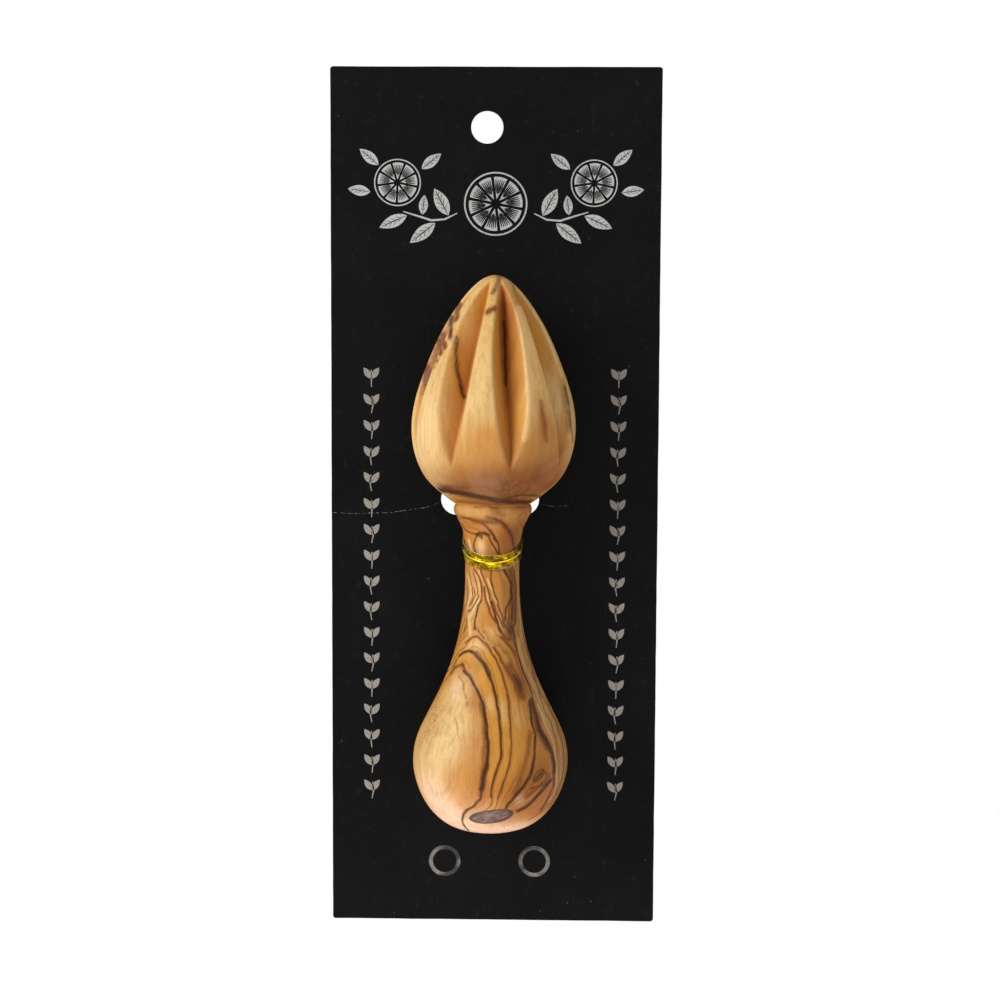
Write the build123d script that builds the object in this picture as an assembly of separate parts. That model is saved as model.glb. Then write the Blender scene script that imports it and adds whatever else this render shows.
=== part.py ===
from build123d import *
from math import cos, degrees, radians, sin, tan
import os

# A turned wooden citrus reamer, tied to its hanging card with a flat twist tie.
# Millimetres. +X is right, +Y is away from the viewer and +Z is up.
# The origin is the centre of the hanging hole, in the front face of the card.

# Card: one stiff laminated sheet with three punched holes and two blind ring marks.
card_width = 87.5
card_height = 230.0
card_thickness = 0.5
card_corner_radius = 0.8
hang_hole_diameter = 8.5
hang_hole_from_top = 15.8
hang_hole_from_middle = 2.3
neck_hole_drop = 98.6
neck_hole_from_middle = 1.2
neck_hole_spread = 2.7
neck_hole_play = 4.8
ring_mark_diameter = 8.6
ring_mark_line = 1.1
ring_mark_depth = 0.12
ring_mark_spacing = 24.4
ring_mark_from_middle = 1.0
ring_mark_from_bottom = 16.4

# Reamer: heights are measured from the scored line between the head and the collar.
head_length = 58.9
head_diameter = 42.3
head_widest_height = 19.7
score_diameter = 18.9
collar_diameter = 20.2
collar_height = 2.8
neck_diameter = 14.0
neck_below_score = 16.8
bulb_diameter = 40.4
bulb_below_score = 67.4
handle_length = 85.9
butt_flat_diameter = 10.0
score_above_neck_holes = 1.2

# Flutes: V grooves with a slight bow, each cut along a slanted valley line.
flute_count = 8
flute_first_angle = 14.3
flute_angle = 70.0
flute_low_height = 10.7
flute_low_radius = 19.4
flute_top_height = 57.7
flute_top_radius = 3.7
flute_bow = 0.8
flute_reach = 12.0

# Tie: a flat foil strip with a ridge over the round wire along its middle.
tie_width = 3.7
tie_thickness = 0.15
tie_ridge_foot = 1.0
tie_ridge_crest = 0.3
wire_diameter = 0.5
wire_cover = 0.08
wire_sides = 6
tie_tilt = 23.0
tie_below_neck_holes = 0.9
tie_bend_radius = 1.2
tail_fold_radius = 3.0
tail_length = 17.0
tail_half_turn = 5.0

# Clearances.
head_to_card = 0.3
tie_to_neck = 0.2
tie_to_card = 0.3
strand_gap = 0.1
wire_clearance = 0.02
overrun = 1.0

# Outlines, as shares of the radius and of the length that they belong to.
crown_outline_shares = [(0.231, 0.941), (0.405, 0.837), (0.645, 0.630), (0.850, 0.370), (0.947, 0.209)]
brow_outline_shares = [(0.916, 0.473), (0.800, 0.685), (0.644, 0.843)]
neck_outline_shares = [(1.164, 0.339), (1.060, 0.494)]
flare_outline_shares = [(0.107, 0.33), (0.376, 0.565), (0.787, 0.79), (0.926, 0.875)]
heel_outline_shares = [(0.942, 0.343), (0.774, 0.685), (0.518, 0.912)]

# Steps between the sections of the tie, in degrees.
wrap_step = 15.0
bend_step = 22.5
twist_step = 20.0

# Places that follow from the sizes.
card_middle_x = hang_hole_from_middle
card_bottom_z = hang_hole_from_top - card_height
score_z = score_above_neck_holes - neck_hole_drop
reamer_x = card_middle_x
reamer_y = -head_diameter / 2 - head_to_card
ridge_height = wire_diameter + 2 * wire_cover
loop_radius = neck_diameter / 2 + tie_to_neck + ridge_height / 2
neck_hole_diameter = tie_width + neck_hole_play
neck_hole_spacing = 2 * loop_radius + neck_hole_spread
strand_offset = (ridge_height + strand_gap) / 2

# Directions in the tilted plane of the tie's loop: across, back along a leg, and square to both.
across = Vector(1, 0, 0)
back = Vector(0, cos(radians(tie_tilt)), sin(radians(tie_tilt)))
rise = Vector(0, -sin(radians(tie_tilt)), cos(radians(tie_tilt)))


def punch(x, z, diameter):
    """A round punch that goes right through the card."""
    tool = extrude(Plane.XZ * Circle(diameter / 2), amount=card_thickness + overrun, both=True)
    return Pos(x, 0, z) * tool


def ring_mark(x, z):
    """A shallow blind ring, pressed into the front face of the card."""
    ring = Circle(ring_mark_diameter / 2) - Circle(ring_mark_diameter / 2 - ring_mark_line)
    return Pos(x, ring_mark_depth, z) * extrude(Plane.XZ * ring, amount=ring_mark_depth + overrun)


def make_card():
    """The card, with its hanging hole, the two holes for the tie and the two ring marks."""
    outline = Plane.XZ * RectangleRounded(card_width, card_height, card_corner_radius)
    middle_z = hang_hole_from_top - card_height / 2
    card = Pos(card_middle_x, 0, middle_z) * extrude(outline, amount=-card_thickness)
    card -= punch(0, 0, hang_hole_diameter)
    hole_x = card_middle_x - neck_hole_from_middle
    mark_x = card_middle_x - ring_mark_from_middle
    mark_z = card_bottom_z + ring_mark_from_bottom
    for side in (-1, 1):
        card -= punch(hole_x + side * neck_hole_spacing / 2, -neck_hole_drop, neck_hole_diameter)
        card -= ring_mark(mark_x + side * ring_mark_spacing / 2, mark_z)
    return card


def head_outline():
    """Half outline of the head, from its round tip down to the scored line."""
    widest = (head_diameter / 2, head_widest_height)
    crown_length = head_length - head_widest_height
    crown = [(widest[0] * r, widest[1] + crown_length * z) for r, z in crown_outline_shares]
    brow = [(widest[0] * r, widest[1] - widest[1] * z) for r, z in brow_outline_shares]
    points = [(0, head_length), *crown, widest, *brow, (score_diameter / 2, 0)]
    return Spline(points, tangents=[(1, 0), (-1, -0.9)])


def handle_outline():
    """Half outline of the collar, the waisted neck, the bulb and its small flat end."""
    under_collar = (score_diameter / 2, -collar_height)
    neck = (neck_diameter / 2, -neck_below_score)
    bulb = (bulb_diameter / 2, -bulb_below_score)
    swell = (bulb_diameter - neck_diameter) / 2
    flare_length = bulb_below_score - neck_below_score
    heel_length = handle_length - bulb_below_score
    butt = (butt_flat_diameter / 2, -handle_length)
    waist = [(neck[0] * r, neck[1] * z) for r, z in neck_outline_shares]
    flare = [(neck[0] + swell * r, neck[1] - flare_length * z) for r, z in flare_outline_shares]
    heel = [(bulb[0] * r, bulb[1] - heel_length * z) for r, z in heel_outline_shares]
    collar_crest = (collar_diameter / 2, -collar_height / 2)
    outline = ThreePointArc((score_diameter / 2, 0), collar_crest, under_collar)
    outline += Spline([under_collar, *waist, neck], tangents=[(-0.45, -1), (0, -1)])
    outline += Spline([neck, *flare, bulb], tangents=[(0, -1), (0, -1)])
    outline += Spline([bulb, *heel, butt], tangents=[(0, -1), (-1, -0.25)])
    return outline + Line(butt, (0, -handle_length))


def turned_blank():
    """The reamer as it leaves the lathe, standing on its axis with the scored line at zero."""
    outline = head_outline() + handle_outline() + Line((0, -handle_length), (0, head_length))
    return revolve(Plane.XZ * make_face(outline), Axis.Z)


def flute_cutter():
    """A large V wheel, whose rim runs along the valley of the flute that faces +X."""
    low = Vector(flute_low_radius, 0, flute_low_height)
    top = Vector(flute_top_radius, 0, flute_top_height)
    chord = top - low
    outward = Vector(chord.Z, 0, -chord.X).normalized()
    rim_radius = (chord.length**2 / 4 + flute_bow**2) / (2 * flute_bow)
    centre = (low + top) / 2 + outward * (rim_radius - flute_bow)
    half_width = flute_reach * tan(radians(flute_angle / 2))
    open_radius = rim_radius - flute_reach
    edge = Polyline((rim_radius, 0), (open_radius, half_width), (open_radius, -half_width), close=True)
    arc = degrees((chord.length + 2 * flute_reach) / rim_radius)
    axle = Axis(centre, (0, 1, 0))
    rim = Plane(centre, x_dir=-outward, z_dir=chord) * make_face(edge)
    return revolve(rim.rotate(axle, -arc / 2), axle, revolution_arc=arc)


def make_reamer():
    """The turned blank with its flutes, standing upright in front of the card."""
    reamer = turned_blank()
    cutter = flute_cutter()
    for index in range(flute_count):
        turn = flute_first_angle - 90 + index * 360 / flute_count
        reamer -= Rot(0, 0, turn) * cutter
    return Pos(reamer_x, reamer_y, score_z) * reamer


def steps(start, end, step):
    """Evenly spaced values from start to end, both included, about one step apart."""
    count = max(1, round(abs(end - start) / step))
    return [start + (end - start) * index / count for index in range(count + 1)]


def loop_centre():
    """Where the reamer's axis crosses the plane of the loop."""
    hole_z = -neck_hole_drop - tie_below_neck_holes
    return Vector(reamer_x, reamer_y, hole_z + reamer_y * tan(radians(tie_tilt)))


def wrap_stations():
    """Round the front of the neck, from its left side to its right, flat against the wood."""
    stations = []
    for angle in steps(-90, 90, wrap_step):
        s, c = sin(radians(angle)), cos(radians(angle))
        outward = Vector(s, -c, 0)
        along = Vector(c, s, s * tan(radians(tie_tilt))).normalized()
        drop = Vector(0, 0, -loop_radius * c * tan(radians(tie_tilt)))
        place = loop_centre() + outward * loop_radius + drop
        stations.append((place, outward.cross(along), along))
    return stations


def leg_stations():
    """From the right side of the neck, back through the card and in behind it."""
    lean = tie_width / 2 * sin(radians(tie_tilt)) + ridge_height / 2
    run_y = card_thickness + tie_to_card + lean
    reach = (run_y - reamer_y) / cos(radians(tie_tilt))
    first_centre = loop_centre() + across * (loop_radius - tie_bend_radius) + back * (reach - tie_bend_radius)
    last_centre = loop_centre() + across * (strand_offset + tie_bend_radius) + back * (reach + tie_bend_radius)
    stations = []
    for angle in steps(0, 90, bend_step):
        s, c = sin(radians(angle)), cos(radians(angle))
        stations.append((first_centre + (across * c + back * s) * tie_bend_radius, rise, back * c - across * s))
    for angle in steps(0, 90, bend_step):
        s, c = sin(radians(angle)), cos(radians(angle))
        stations.append((last_centre - (back * c + across * s) * tie_bend_radius, rise, back * s - across * c))
    return stations, loop_centre() + back * (reach + tie_bend_radius)


def tail_stations(start, side):
    """One strand of the twisted tail, which folds down behind the card as it turns."""
    fold_angle = 90 + tie_tilt
    fold_length = radians(fold_angle) * tail_fold_radius
    fold_centre = start - rise * tail_fold_radius
    stations = []
    for twist in steps(0, 180 * tail_length / tail_half_turn, twist_step):
        travel = twist / 180 * tail_half_turn
        folded = min(travel, fold_length) / tail_fold_radius
        along = back * cos(folded) - rise * sin(folded)
        square = rise * cos(folded) + back * sin(folded)
        place = fold_centre + square * tail_fold_radius + along * max(0, travel - fold_length)
        s, c = sin(radians(twist)), cos(radians(twist))
        outward = across * c + square * s
        stations.append((place + outward * strand_offset * side, square * c - across * s, along))
    return stations[1:]


def tie_stations():
    """Centre, widthwise and lengthwise direction of each section of the strip, end to end."""
    legs, start = leg_stations()
    left_legs = [(mirrored(p), w, -mirrored_direction(a)) for p, w, a in legs]
    left_tail = [(p, w, -a) for p, w, a in tail_stations(start, -1)]
    right_tail = tail_stations(start, 1)
    return left_tail[::-1] + left_legs[::-1] + wrap_stations() + legs + right_tail


def mirrored(place):
    """The same place on the other side of the reamer's axis."""
    return Vector(2 * reamer_x - place.X, place.Y, place.Z)


def mirrored_direction(direction):
    """The same direction, seen on the other side."""
    return Vector(-direction.X, direction.Y, direction.Z)


def strip_section():
    """The flat strip across its length, with its ridge on both faces."""
    half = [
        (tie_width / 2, tie_thickness / 2),
        (tie_ridge_foot / 2, tie_thickness / 2),
        (tie_ridge_crest / 2, ridge_height / 2),
    ]
    top = half + [(-x, y) for x, y in half[::-1]]
    return Polyline(*top, *[(-x, -y) for x, y in top], close=True)


def wire_section(radius):
    """The wire across its length."""
    return RegularPolygon(radius, wire_sides)


def along_tie(section):
    """A solid with this section all along the tie."""
    faces = [Plane(place, x_dir=wide, z_dir=along) * section for place, wide, along in tie_stations()]
    return loft(faces, ruled=True)


def make_tie_strip():
    """The foil strip, hollow along its middle for the wire."""
    strip = along_tie(make_face(strip_section()))
    return strip - along_tie(wire_section(wire_diameter / 2 + wire_clearance))


def make_tie_wire():
    """The wire inside the strip, cut flush at both ends."""
    return along_tie(wire_section(wire_diameter / 2))


def write_parts():
    """One file for each piece, named for it."""
    os.makedirs("parts", exist_ok=True)
    pieces = {
        "reamer": make_reamer(),
        "backing_card": make_card(),
        "tie_strip": make_tie_strip(),
        "tie_wire": make_tie_wire(),
    }
    for name, piece in pieces.items():
        piece.label = name
        export_step(piece, f"parts/{name}.step")


write_parts()
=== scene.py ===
import math
import random

import bmesh
import bpy
import numpy as np
from mathutils import Matrix, Vector
from mathutils.bvhtree import BVHTree
from mathutils.geometry import delaunay_2d_cdt


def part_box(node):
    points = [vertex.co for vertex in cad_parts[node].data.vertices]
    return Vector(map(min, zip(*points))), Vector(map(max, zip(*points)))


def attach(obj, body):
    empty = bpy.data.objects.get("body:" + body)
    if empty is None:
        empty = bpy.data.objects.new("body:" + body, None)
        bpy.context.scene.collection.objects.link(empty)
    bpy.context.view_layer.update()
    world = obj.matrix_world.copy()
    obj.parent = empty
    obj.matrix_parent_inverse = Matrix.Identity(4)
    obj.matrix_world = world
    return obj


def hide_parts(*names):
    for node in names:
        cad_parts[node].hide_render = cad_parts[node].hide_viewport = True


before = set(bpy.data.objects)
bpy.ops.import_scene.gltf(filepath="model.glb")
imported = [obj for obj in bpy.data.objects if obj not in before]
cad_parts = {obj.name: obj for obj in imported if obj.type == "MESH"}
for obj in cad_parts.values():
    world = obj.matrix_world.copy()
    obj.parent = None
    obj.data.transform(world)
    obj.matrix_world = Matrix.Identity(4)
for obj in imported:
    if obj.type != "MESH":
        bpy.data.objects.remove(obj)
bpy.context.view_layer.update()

# Sizes in metres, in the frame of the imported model.
MM = 0.001
CARD_LOW, CARD_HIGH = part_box("backing_card")
REAMER_LOW, REAMER_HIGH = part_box("reamer")
CARD_MIDDLE_X = (CARD_LOW.x + CARD_HIGH.x) / 2
AXIS_X = (REAMER_LOW.x + REAMER_HIGH.x) / 2
AXIS_Y = (REAMER_LOW.y + REAMER_HIGH.y) / 2
HEAD_RADIUS = 21.15 * MM
TIP_Z = REAMER_HIGH.z
BUTT_Z = REAMER_LOW.z

# Outline of the turned wood: heights from the scored line between head and collar.
HEAD_LENGTH = 58.9 * MM
HEAD_WIDEST = 19.7 * MM
SCORE_RADIUS = 9.45 * MM
COLLAR_RADIUS = 10.1 * MM
COLLAR_HEIGHT = 2.8 * MM
NECK_RADIUS = 7.0 * MM
NECK_BELOW = 16.8 * MM
BULB_RADIUS = 20.2 * MM
BULB_BELOW = 67.4 * MM
HANDLE_LENGTH = 85.9 * MM
BUTT_RADIUS = 5.0 * MM
SCORE_Z = TIP_Z - HEAD_LENGTH

# Places between the named heights, as shares of a radius and of a length.
CROWN_SHARES = [(0.231, 0.941), (0.405, 0.837), (0.645, 0.630), (0.850, 0.370), (0.947, 0.209)]
BROW_SHARES = [(0.916, 0.473), (0.800, 0.685), (0.644, 0.843)]
NECK_SHARES = [(1.164, 0.339), (1.060, 0.494)]
FLARE_SHARES = [(0.107, 0.33), (0.376, 0.565), (0.787, 0.79), (0.926, 0.875)]
HEEL_SHARES = [(0.942, 0.343), (0.774, 0.685), (0.518, 0.912)]

# Directions (outwards, up) in which the outline runs at the ends of its curves.
LEVEL = (1, 0)
DOWN = (0, -1)
INTO_SCORE = (-1, -0.6)
OUT_OF_COLLAR = (-0.3, -1)
INTO_BUTT = (-1, -0.25)

# Points between two places of a curve, round the collar and across the butt.
CURVE_POINTS = 40
COLLAR_POINTS = 13
BUTT_POINTS = 10

# Flutes of the head. The low and top ends of a valley are (radius, height).
FLUTE_COUNT = 8
FLUTE_FIRST = math.radians(14.3)
FLUTE_HALF_ANGLE = math.radians(33.6)
FLUTE_HALF_PITCH = math.pi / FLUTE_COUNT
FLUTE_LOW = (19.4 * MM, 11.2 * MM)
FLUTE_TOP = (3.7 * MM, 57.7 * MM)
FLUTE_BOW = 0.8 * MM
RIDGE_SOFTNESS = 1.1 * MM
VALLEY_SOFTNESS = 0.5 * MM

# How far each flute stands aside from its even place, as a share of the pitch.
FLUTE_WANDER = (0.0, 0.02, -0.03, 0.015, -0.02, 0.03, -0.015, -0.01)
# How far round the head a groove can reach from its valley, in radians.
FLUTE_REACH = 0.9

# The flutes drift to the right towards the tip, from this share of the head's length on.
FLUTES_DRIFT = 0.9 * MM
DRIFT_FROM = 0.6

# A wall seen flatter than this is taken as missing, which puts it this far out.
FLATTEST_WALL = 0.02
FAR_OUT = 1.0

# The handmade reamer leans a little to the right in its tie, by this slope.
LEAN = 0.0057
LEAN_FROM_Z = -118 * MM

# Mesh of the wood. Its columns follow the flutes' ridges and fade to even ones at both ends.
ROW_STEP = 0.33 * MM
HALF_COLUMNS = 22
WALL_COLUMNS = 12
RIDGE_TRIES = 200
LEAST_SPREAD = 0.01
LEAST_RIDGE = math.radians(3)
TOP_FADE = 3 * MM
LOW_FADE = 12 * MM
LOW_FADE_FROM = FLUTE_LOW[1] + 4 * MM
CARVED_FROM = FLUTE_LOW[1] - 8 * MM

# The card: its holes, ring marks, edge and slightly wavy sheet.
HOLE_RADIUS = 4.25 * MM
HOLE_POINTS = 64
NECK_HOLES = [(-7.78 * MM, -98.6 * MM), (9.98 * MM, -98.6 * MM)]
RING_MARKS = [(-10.9 * MM, -197.8 * MM), (13.5 * MM, -197.8 * MM)]
RING_MARK_RADIUS = 4.3 * MM
RING_MARK_LINE = 1.1 * MM
RING_MARK_DEPTH = 0.12 * MM
RING_MARK_WALL = 0.12 * MM
RING_MARK_POINTS = 56
CARD_THICKNESS = 0.5 * MM
CARD_CORNER = 0.8 * MM
CORNER_STEPS = 6
EDGE_STEP = 4 * MM
EDGE_UNEVEN = 0.06 * MM
EDGE_SEED = 4
CARD_GRID = 3.0 * MM
CARD_WAVE = 0.02 * MM
CARD_WAVE_TURNS = (0.21, 0.13)
CARD_WAVE_START = (1, 0)
SHEET_SLACK = 1e-5

# Numbers of the card's materials.
FILM, INK, PRESSED, CORE, CRACKED = range(5)

# Printed ornament at the top of the card: places in mm from its middle, for the right side.
PRINT_TOP = -17.5 * MM
STEM = [(10.2, -5.0), (13.5, -6.6), (17.0, -6.9), (20.5, -5.8), (24.5, -4.6)]
STEM_WIDTH = 0.55 * MM
# Leaves: place, length and width in mm, angle in degrees.
LEAVES = [
    (12.5, -5.6, 8.0, 3.6, 62), (16.0, -7.6, 8.5, 3.4, -38), (19.4, -5.4, 5.2, 2.4, 96),
    (23.5, -5.6, 8.0, 3.2, -24), (33.2, 0.5, 6.0, 2.8, 8), (31.0, 7.6, 6.5, 2.8, 40),
    (19.6, 6.6, 6.5, 2.8, 142),
]
# Fruit slices: place and radius in mm, number of wedges.
MIDDLE_SLICE = (0, -2.5, 8.4, 10)
SIDE_SLICE = (26, 3.0, 6.2, 9)

# Parts of a slice, as shares of its radius and of half a wedge's angle.
SLICE_POINTS = 48
PEEL_INSIDE = 0.95
WEDGE_OUTSIDE = 0.85
WEDGE_NARROWING = 0.88
WEDGE_GAP = 0.0455
WEDGE_TURN = 0.2
WEDGE_SHARES = (-0.93, -0.75, -0.4, 0, 0.4, 0.75, 0.93)
VEIN_SHARES = (-0.62, -0.31, 0.0, 0.31, 0.62)
VEIN_FROM = 0.30
VEIN_SPLAY = 0.12
VEIN_TO = 0.76
VEIN_NARROWING = 0.9
VEIN_WIDTH = 0.045

# Leaves. Places and sizes on them are shares of their length or width.
LEAF_POINTS = 9
LEAF_ROUNDNESS = 0.8
LEAF_FOOT = 1.15
LEAF_TAPER = 0.3
MIDRIB_POINTS = 5
MIDRIB_FROM = 0.04
MIDRIB_STEP = 0.22
MIDRIB_WIDTH = 0.09
LEAF_VEINS = 4
LEAF_VEIN_FROM = 0.06
LEAF_VEIN_STEP = 0.17
LEAF_VEIN_REACH = 0.30
LEAF_VEIN_PHASE = 0.1
LEAF_VEIN_FOOT = 0.07
LEAF_VEIN_BEND = (0.7, 0.62)
LEAF_VEIN_TIP = (1.2, 1)
LEAF_VEIN_WIDTH = 0.05
# Share of its width that a band of print keeps at its ends.
BAND_END = 0.35

# Leaf pairs in a row down each side of the card.
SPRIG_COUNT = 17
SPRIG_FROM_MIDDLE = 33.0 * MM
SPRIG_TOP = -64 * MM
SPRIG_STEP = 7.0 * MM
SPRIG_SWAY = 0.5 * MM
SPRIG_SWAY_TURN = 1.3
SPRIG_FOOT_SWAY = 0.3
SPRIG_BEND = 2.2 * MM
SPRIG_LENGTH = 4.6 * MM
SPRIG_LEAF_BELOW = 2.4 * MM
SPRIG_STEM_WIDTH = 0.38 * MM
SPRIG_LEAF = (3.6 * MM, 1.7 * MM)
SPRIG_ANGLES = (125, 55)

# Creases in the film beside the holes for the tie, in mm.
CREASES = [
    [(-12.6, -99.6), (-16, -100.9), (-21, -101.6), (-26, -102.4), (-31, -102.5), (-36, -102.7),
     (-41, -102.4)],
    [(14.8, -99.8), (18, -100.4), (22, -100.2)],
]
CREASE_WIDTH = 0.16 * MM

# Tie.
TIE_WIDTH = 3.7 * MM
TIE_THICKNESS = 0.15 * MM
TIE_RIDGE_FOOT = 1.0 * MM
TIE_RIDGE_TOP = 0.2 * MM
TIE_RIDGE_HEIGHT = 0.66 * MM
TIE_TILT = math.radians(23)
TIE_TO_NECK = 0.2 * MM
TIE_BELOW_HOLES = 0.9 * MM
TIE_BEHIND_CARD = 0.3 * MM
TIE_BEND = 1.2 * MM
TAIL_FOLD = 3.0 * MM
TAIL_LENGTH = 17.0 * MM
TAIL_HALF_TURN = 5.0 * MM
STRAND_GAP = 0.1 * MM
WIRE_RADIUS = 0.25 * MM
WIRE_SIDES = 12
LOOP_RADIUS = NECK_RADIUS + TIE_TO_NECK + TIE_RIDGE_HEIGHT / 2
STRAND_OFFSET = (TIE_RIDGE_HEIGHT + STRAND_GAP) / 2

# Sections along the tie, and points across its flat sides and its ridge.
WRAP_SECTIONS = 73
BEND_SECTIONS = 9
TAIL_SECTIONS = 80
SECTION_STEP = 0.5 * MM
FLAT_POINTS = 8
RIDGE_POINTS = 13
RIDGE_TO_FLAT = 0.12 * MM

# Waves along the foil's edges.
FOIL_SEED = 7
FOIL_WAVE = 0.02 * MM
FOIL_SPREAD = 2
FOIL_SMOOTHING = [0.1, 0.2, 0.4, 0.2, 0.1]
FOIL_FLAT_FROM = 0.3
FOIL_FLAT_RISE = 2
FOIL_TURN_ACROSS = 2.5
FOIL_TURN_ALONG = 0.9

# The photograph's camera.
FOCAL_PIXELS = 2313.0
SENSOR = 36.0
IMAGE_PIXELS = 1000.0
CAMERA_DISTANCE = 620 * MM
CAMERA_CLIP = 10 * MM
CAMERA_ELEVATION = math.radians(6.168)
CAMERA_AZIMUTH = math.radians(1.282)
CAMERA_ROLL = math.radians(0.251)
LOOK_AT = Vector((3.78 * MM, 0, -98.75 * MM))

# Light of the white room, as a share of how white it is seen.
AMBIENT = 0.35
SCORE_PLACE = Vector((AXIS_X, AXIS_Y, SCORE_Z))
BUTT_PLACE = Vector((AXIS_X, AXIS_Y, BUTT_Z))
# Soft lamps: name, place, what it points at, size and power.
LAMPS = [
    ("key", Vector((-0.62, -0.55, 0.22)), SCORE_PLACE, 0.35, 6.6),
    ("fill", Vector((0.60, -0.60, 0.05)), SCORE_PLACE, 0.5, 1.6),
    ("low", BUTT_PLACE + Vector((-0.03, -0.13, -0.32)), BUTT_PLACE, 0.16, 1.1),
]

# The growth-line field: roundness at its known places in mm, slack beside them, parts to work in.
FIELD_SMOOTHNESS = 1.5
FIELD_SLACK = 0.05
FIELD_PARTS = 60

# Single marks: longest step in pixels, and spread and reach as shares of a mark's width.
STROKE_STEP = 4
STROKE_SPREAD = 0.8
STROKE_REACH = 2
# Waves that marks make across the grain: size in mm, turns down it, push and turns across it.
WAVERS = [(0.10, 1.3, 2.0, 0.9), (0.03, 3.7, 3.0, 0.7)]

# Colours of the single marks, of which the later ones lie on top.
STROKE_COLOURS = (("pale", "DDB478"), ("brown", "784018"), ("dark", "3C1E0C"))

# Ground colours of the wood between ring numbers -8 and 12, as (share, colour).
RING_RANGE = (-8.0, 12.0)
RING_COLOURS = [
    (0.00, "B98446"), (0.20, "D2A258"), (0.25, "DFB570"), (0.33, "E2BA76"), (0.37, "C08A44"),
    (0.40, "DDB474"), (0.43, "D6A45A"), (0.446, "AE7430"), (0.454, "D0923A"), (0.50, "D2943A"),
    (0.55, "CF9038"), (0.60, "C68834"), (0.65, "BE7C30"), (0.70, "B87A36"), (0.74, "B9803E"),
    (0.77, "C48E4C"), (0.80, "CC9856"), (0.85, "BC8644"), (1.00, "C08A48"),
]
# Painted shade in the flutes, darker the deeper they cut; their depth runs from 0 to 8 mm, as (share,
# colour).
FLUTE_SHADE_DEPTH = 8.0
FLUTE_SHADE_COLOURS = [(0.02, "FFFFFF"), (0.12, "F2D8A4"), (0.50, "E8C488"), (0.72, "DAB27C"), (0.92, "B88A58")]

# Growth lines: a ring number and places on its line, picked in pixels of the photograph.
RING_LINES = [
    (0.0, [(440, 735), (438, 765), (452, 750), (448, 785), (430, 750)]),
    (0.3, [(462, 730), (462, 760), (456, 790), (449, 700), (447, 808), (424, 735), (419, 775)]),
    (0.6, [(452, 681), (457, 679), (463, 684), (466, 696), (473, 720), (475, 745), (472, 772),
     (466, 795)]),
    (1.0, [(446, 679), (450, 674), (453, 668), (462, 665), (466, 670), (471, 675), (475, 684), (480, 699),
     (485, 712), (487, 726), (489, 741), (489, 755), (487, 766), (483, 780), (481, 791), (481, 799),
     (475, 806), (466, 810), (463, 815), (462, 820), (466, 828)]),
    (2.0, [(447, 672), (453, 665), (457, 660), (462, 654), (468, 651), (474, 652), (480, 658), (486, 666),
     (491, 678), (496, 699), (499, 719), (501, 741), (501, 757), (497, 770), (493, 781), (491, 790),
     (492, 803)]),
    (3.0, [(449, 665), (455, 658), (463, 649), (470, 640), (475, 637), (480, 639), (488, 648), (496, 659),
     (501, 671), (506, 687), (508, 699), (510, 719), (511, 739), (511, 755), (508, 770), (504, 780),
     (501, 790), (498, 799)]),
    (4.0, [(453, 655), (461, 641), (468, 633), (475, 629), (480, 634), (486, 642), (492, 648), (500, 656),
     (505, 668), (511, 677), (516, 690), (519, 706), (522, 725), (523, 745), (521, 760), (517, 775),
     (511, 787), (504, 799)]),
    (4.4, [(474, 573), (479, 581), (482, 592), (482, 602), (483, 618), (489, 633), (498, 645)]),
    (4.7, [(470, 574), (473, 590), (470, 606), (464, 622), (459, 637)]),
    (5.0, [(466, 530), (475, 535), (476, 542), (477, 553), (479, 571), (486, 590), (490, 606), (496, 621),
     (501, 632), (508, 641), (513, 649), (517, 661), (521, 673), (525, 685), (530, 699), (535, 723),
     (536, 740), (535, 754), (531, 770), (526, 782), (517, 795), (510, 802)]),
    (5.4, [(491, 574), (492, 587), (497, 601), (501, 613), (505, 622), (509, 633)]),
    (5.9, [(499, 576), (501, 590), (502, 603), (503, 614)]),
    (6.4, [(461, 517), (469, 522), (477, 521), (484, 525), (490, 532), (496, 540), (499, 546), (500, 553),
     (505, 572), (511, 584), (510, 597), (507, 608), (505, 617), (508, 629), (513, 637)]),
    (5.6, [(533, 702), (540, 722), (545, 740), (546, 760), (540, 782), (527, 797)]),
    (6.0, [(534, 706), (540, 719), (546, 733), (551, 747), (554, 760), (554, 774), (549, 784), (538, 795),
     (528, 803), (517, 809), (510, 812)]),
    (7.0, [(491, 516), (501, 520), (508, 528), (512, 536), (513, 544), (513, 551), (514, 572), (516, 586),
     (516, 602), (515, 619), (513, 628), (517, 641), (520, 653), (524, 667), (529, 680), (536, 698),
     (545, 714), (553, 730), (558, 744), (560, 758), (559, 774), (554, 786), (546, 798), (535, 811),
     (528, 812), (520, 818), (512, 822)]),
    (7.5, [(517, 573), (519, 600), (519, 625), (522, 645), (527, 665), (532, 682), (540, 700), (550, 717),
     (558, 733), (562, 747), (563, 760), (562, 774), (557, 787), (549, 800), (538, 812), (524, 822)]),
    (8.4, [(458, 508), (470, 510), (482, 511), (497, 511), (512, 511), (526, 510)]),
    (5.9, [(486, 548), (490, 552), (488, 541)]),
    (4.6, [(464, 548), (466, 553), (463, 541)]),
    (-1.6, [(444, 486), (458, 491), (474, 493), (485, 495), (503, 497), (518, 492), (535, 490)]),
    (-1.9, [(418, 440), (450, 470), (487, 440), (520, 468), (560, 455), (500, 480), (430, 472)]),
    (-2.0, [(487, 330), (490, 400), (525, 420), (516, 320), (500, 285), (448, 430), (455, 470)]),
    (-2.6, [(548, 395), (556, 430), (543, 350), (527, 305)]),
    (-3.2, [(563, 388), (568, 409), (571, 430), (553, 360), (465, 300), (450, 335), (437, 372),
     (427, 410)]),
]
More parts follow.
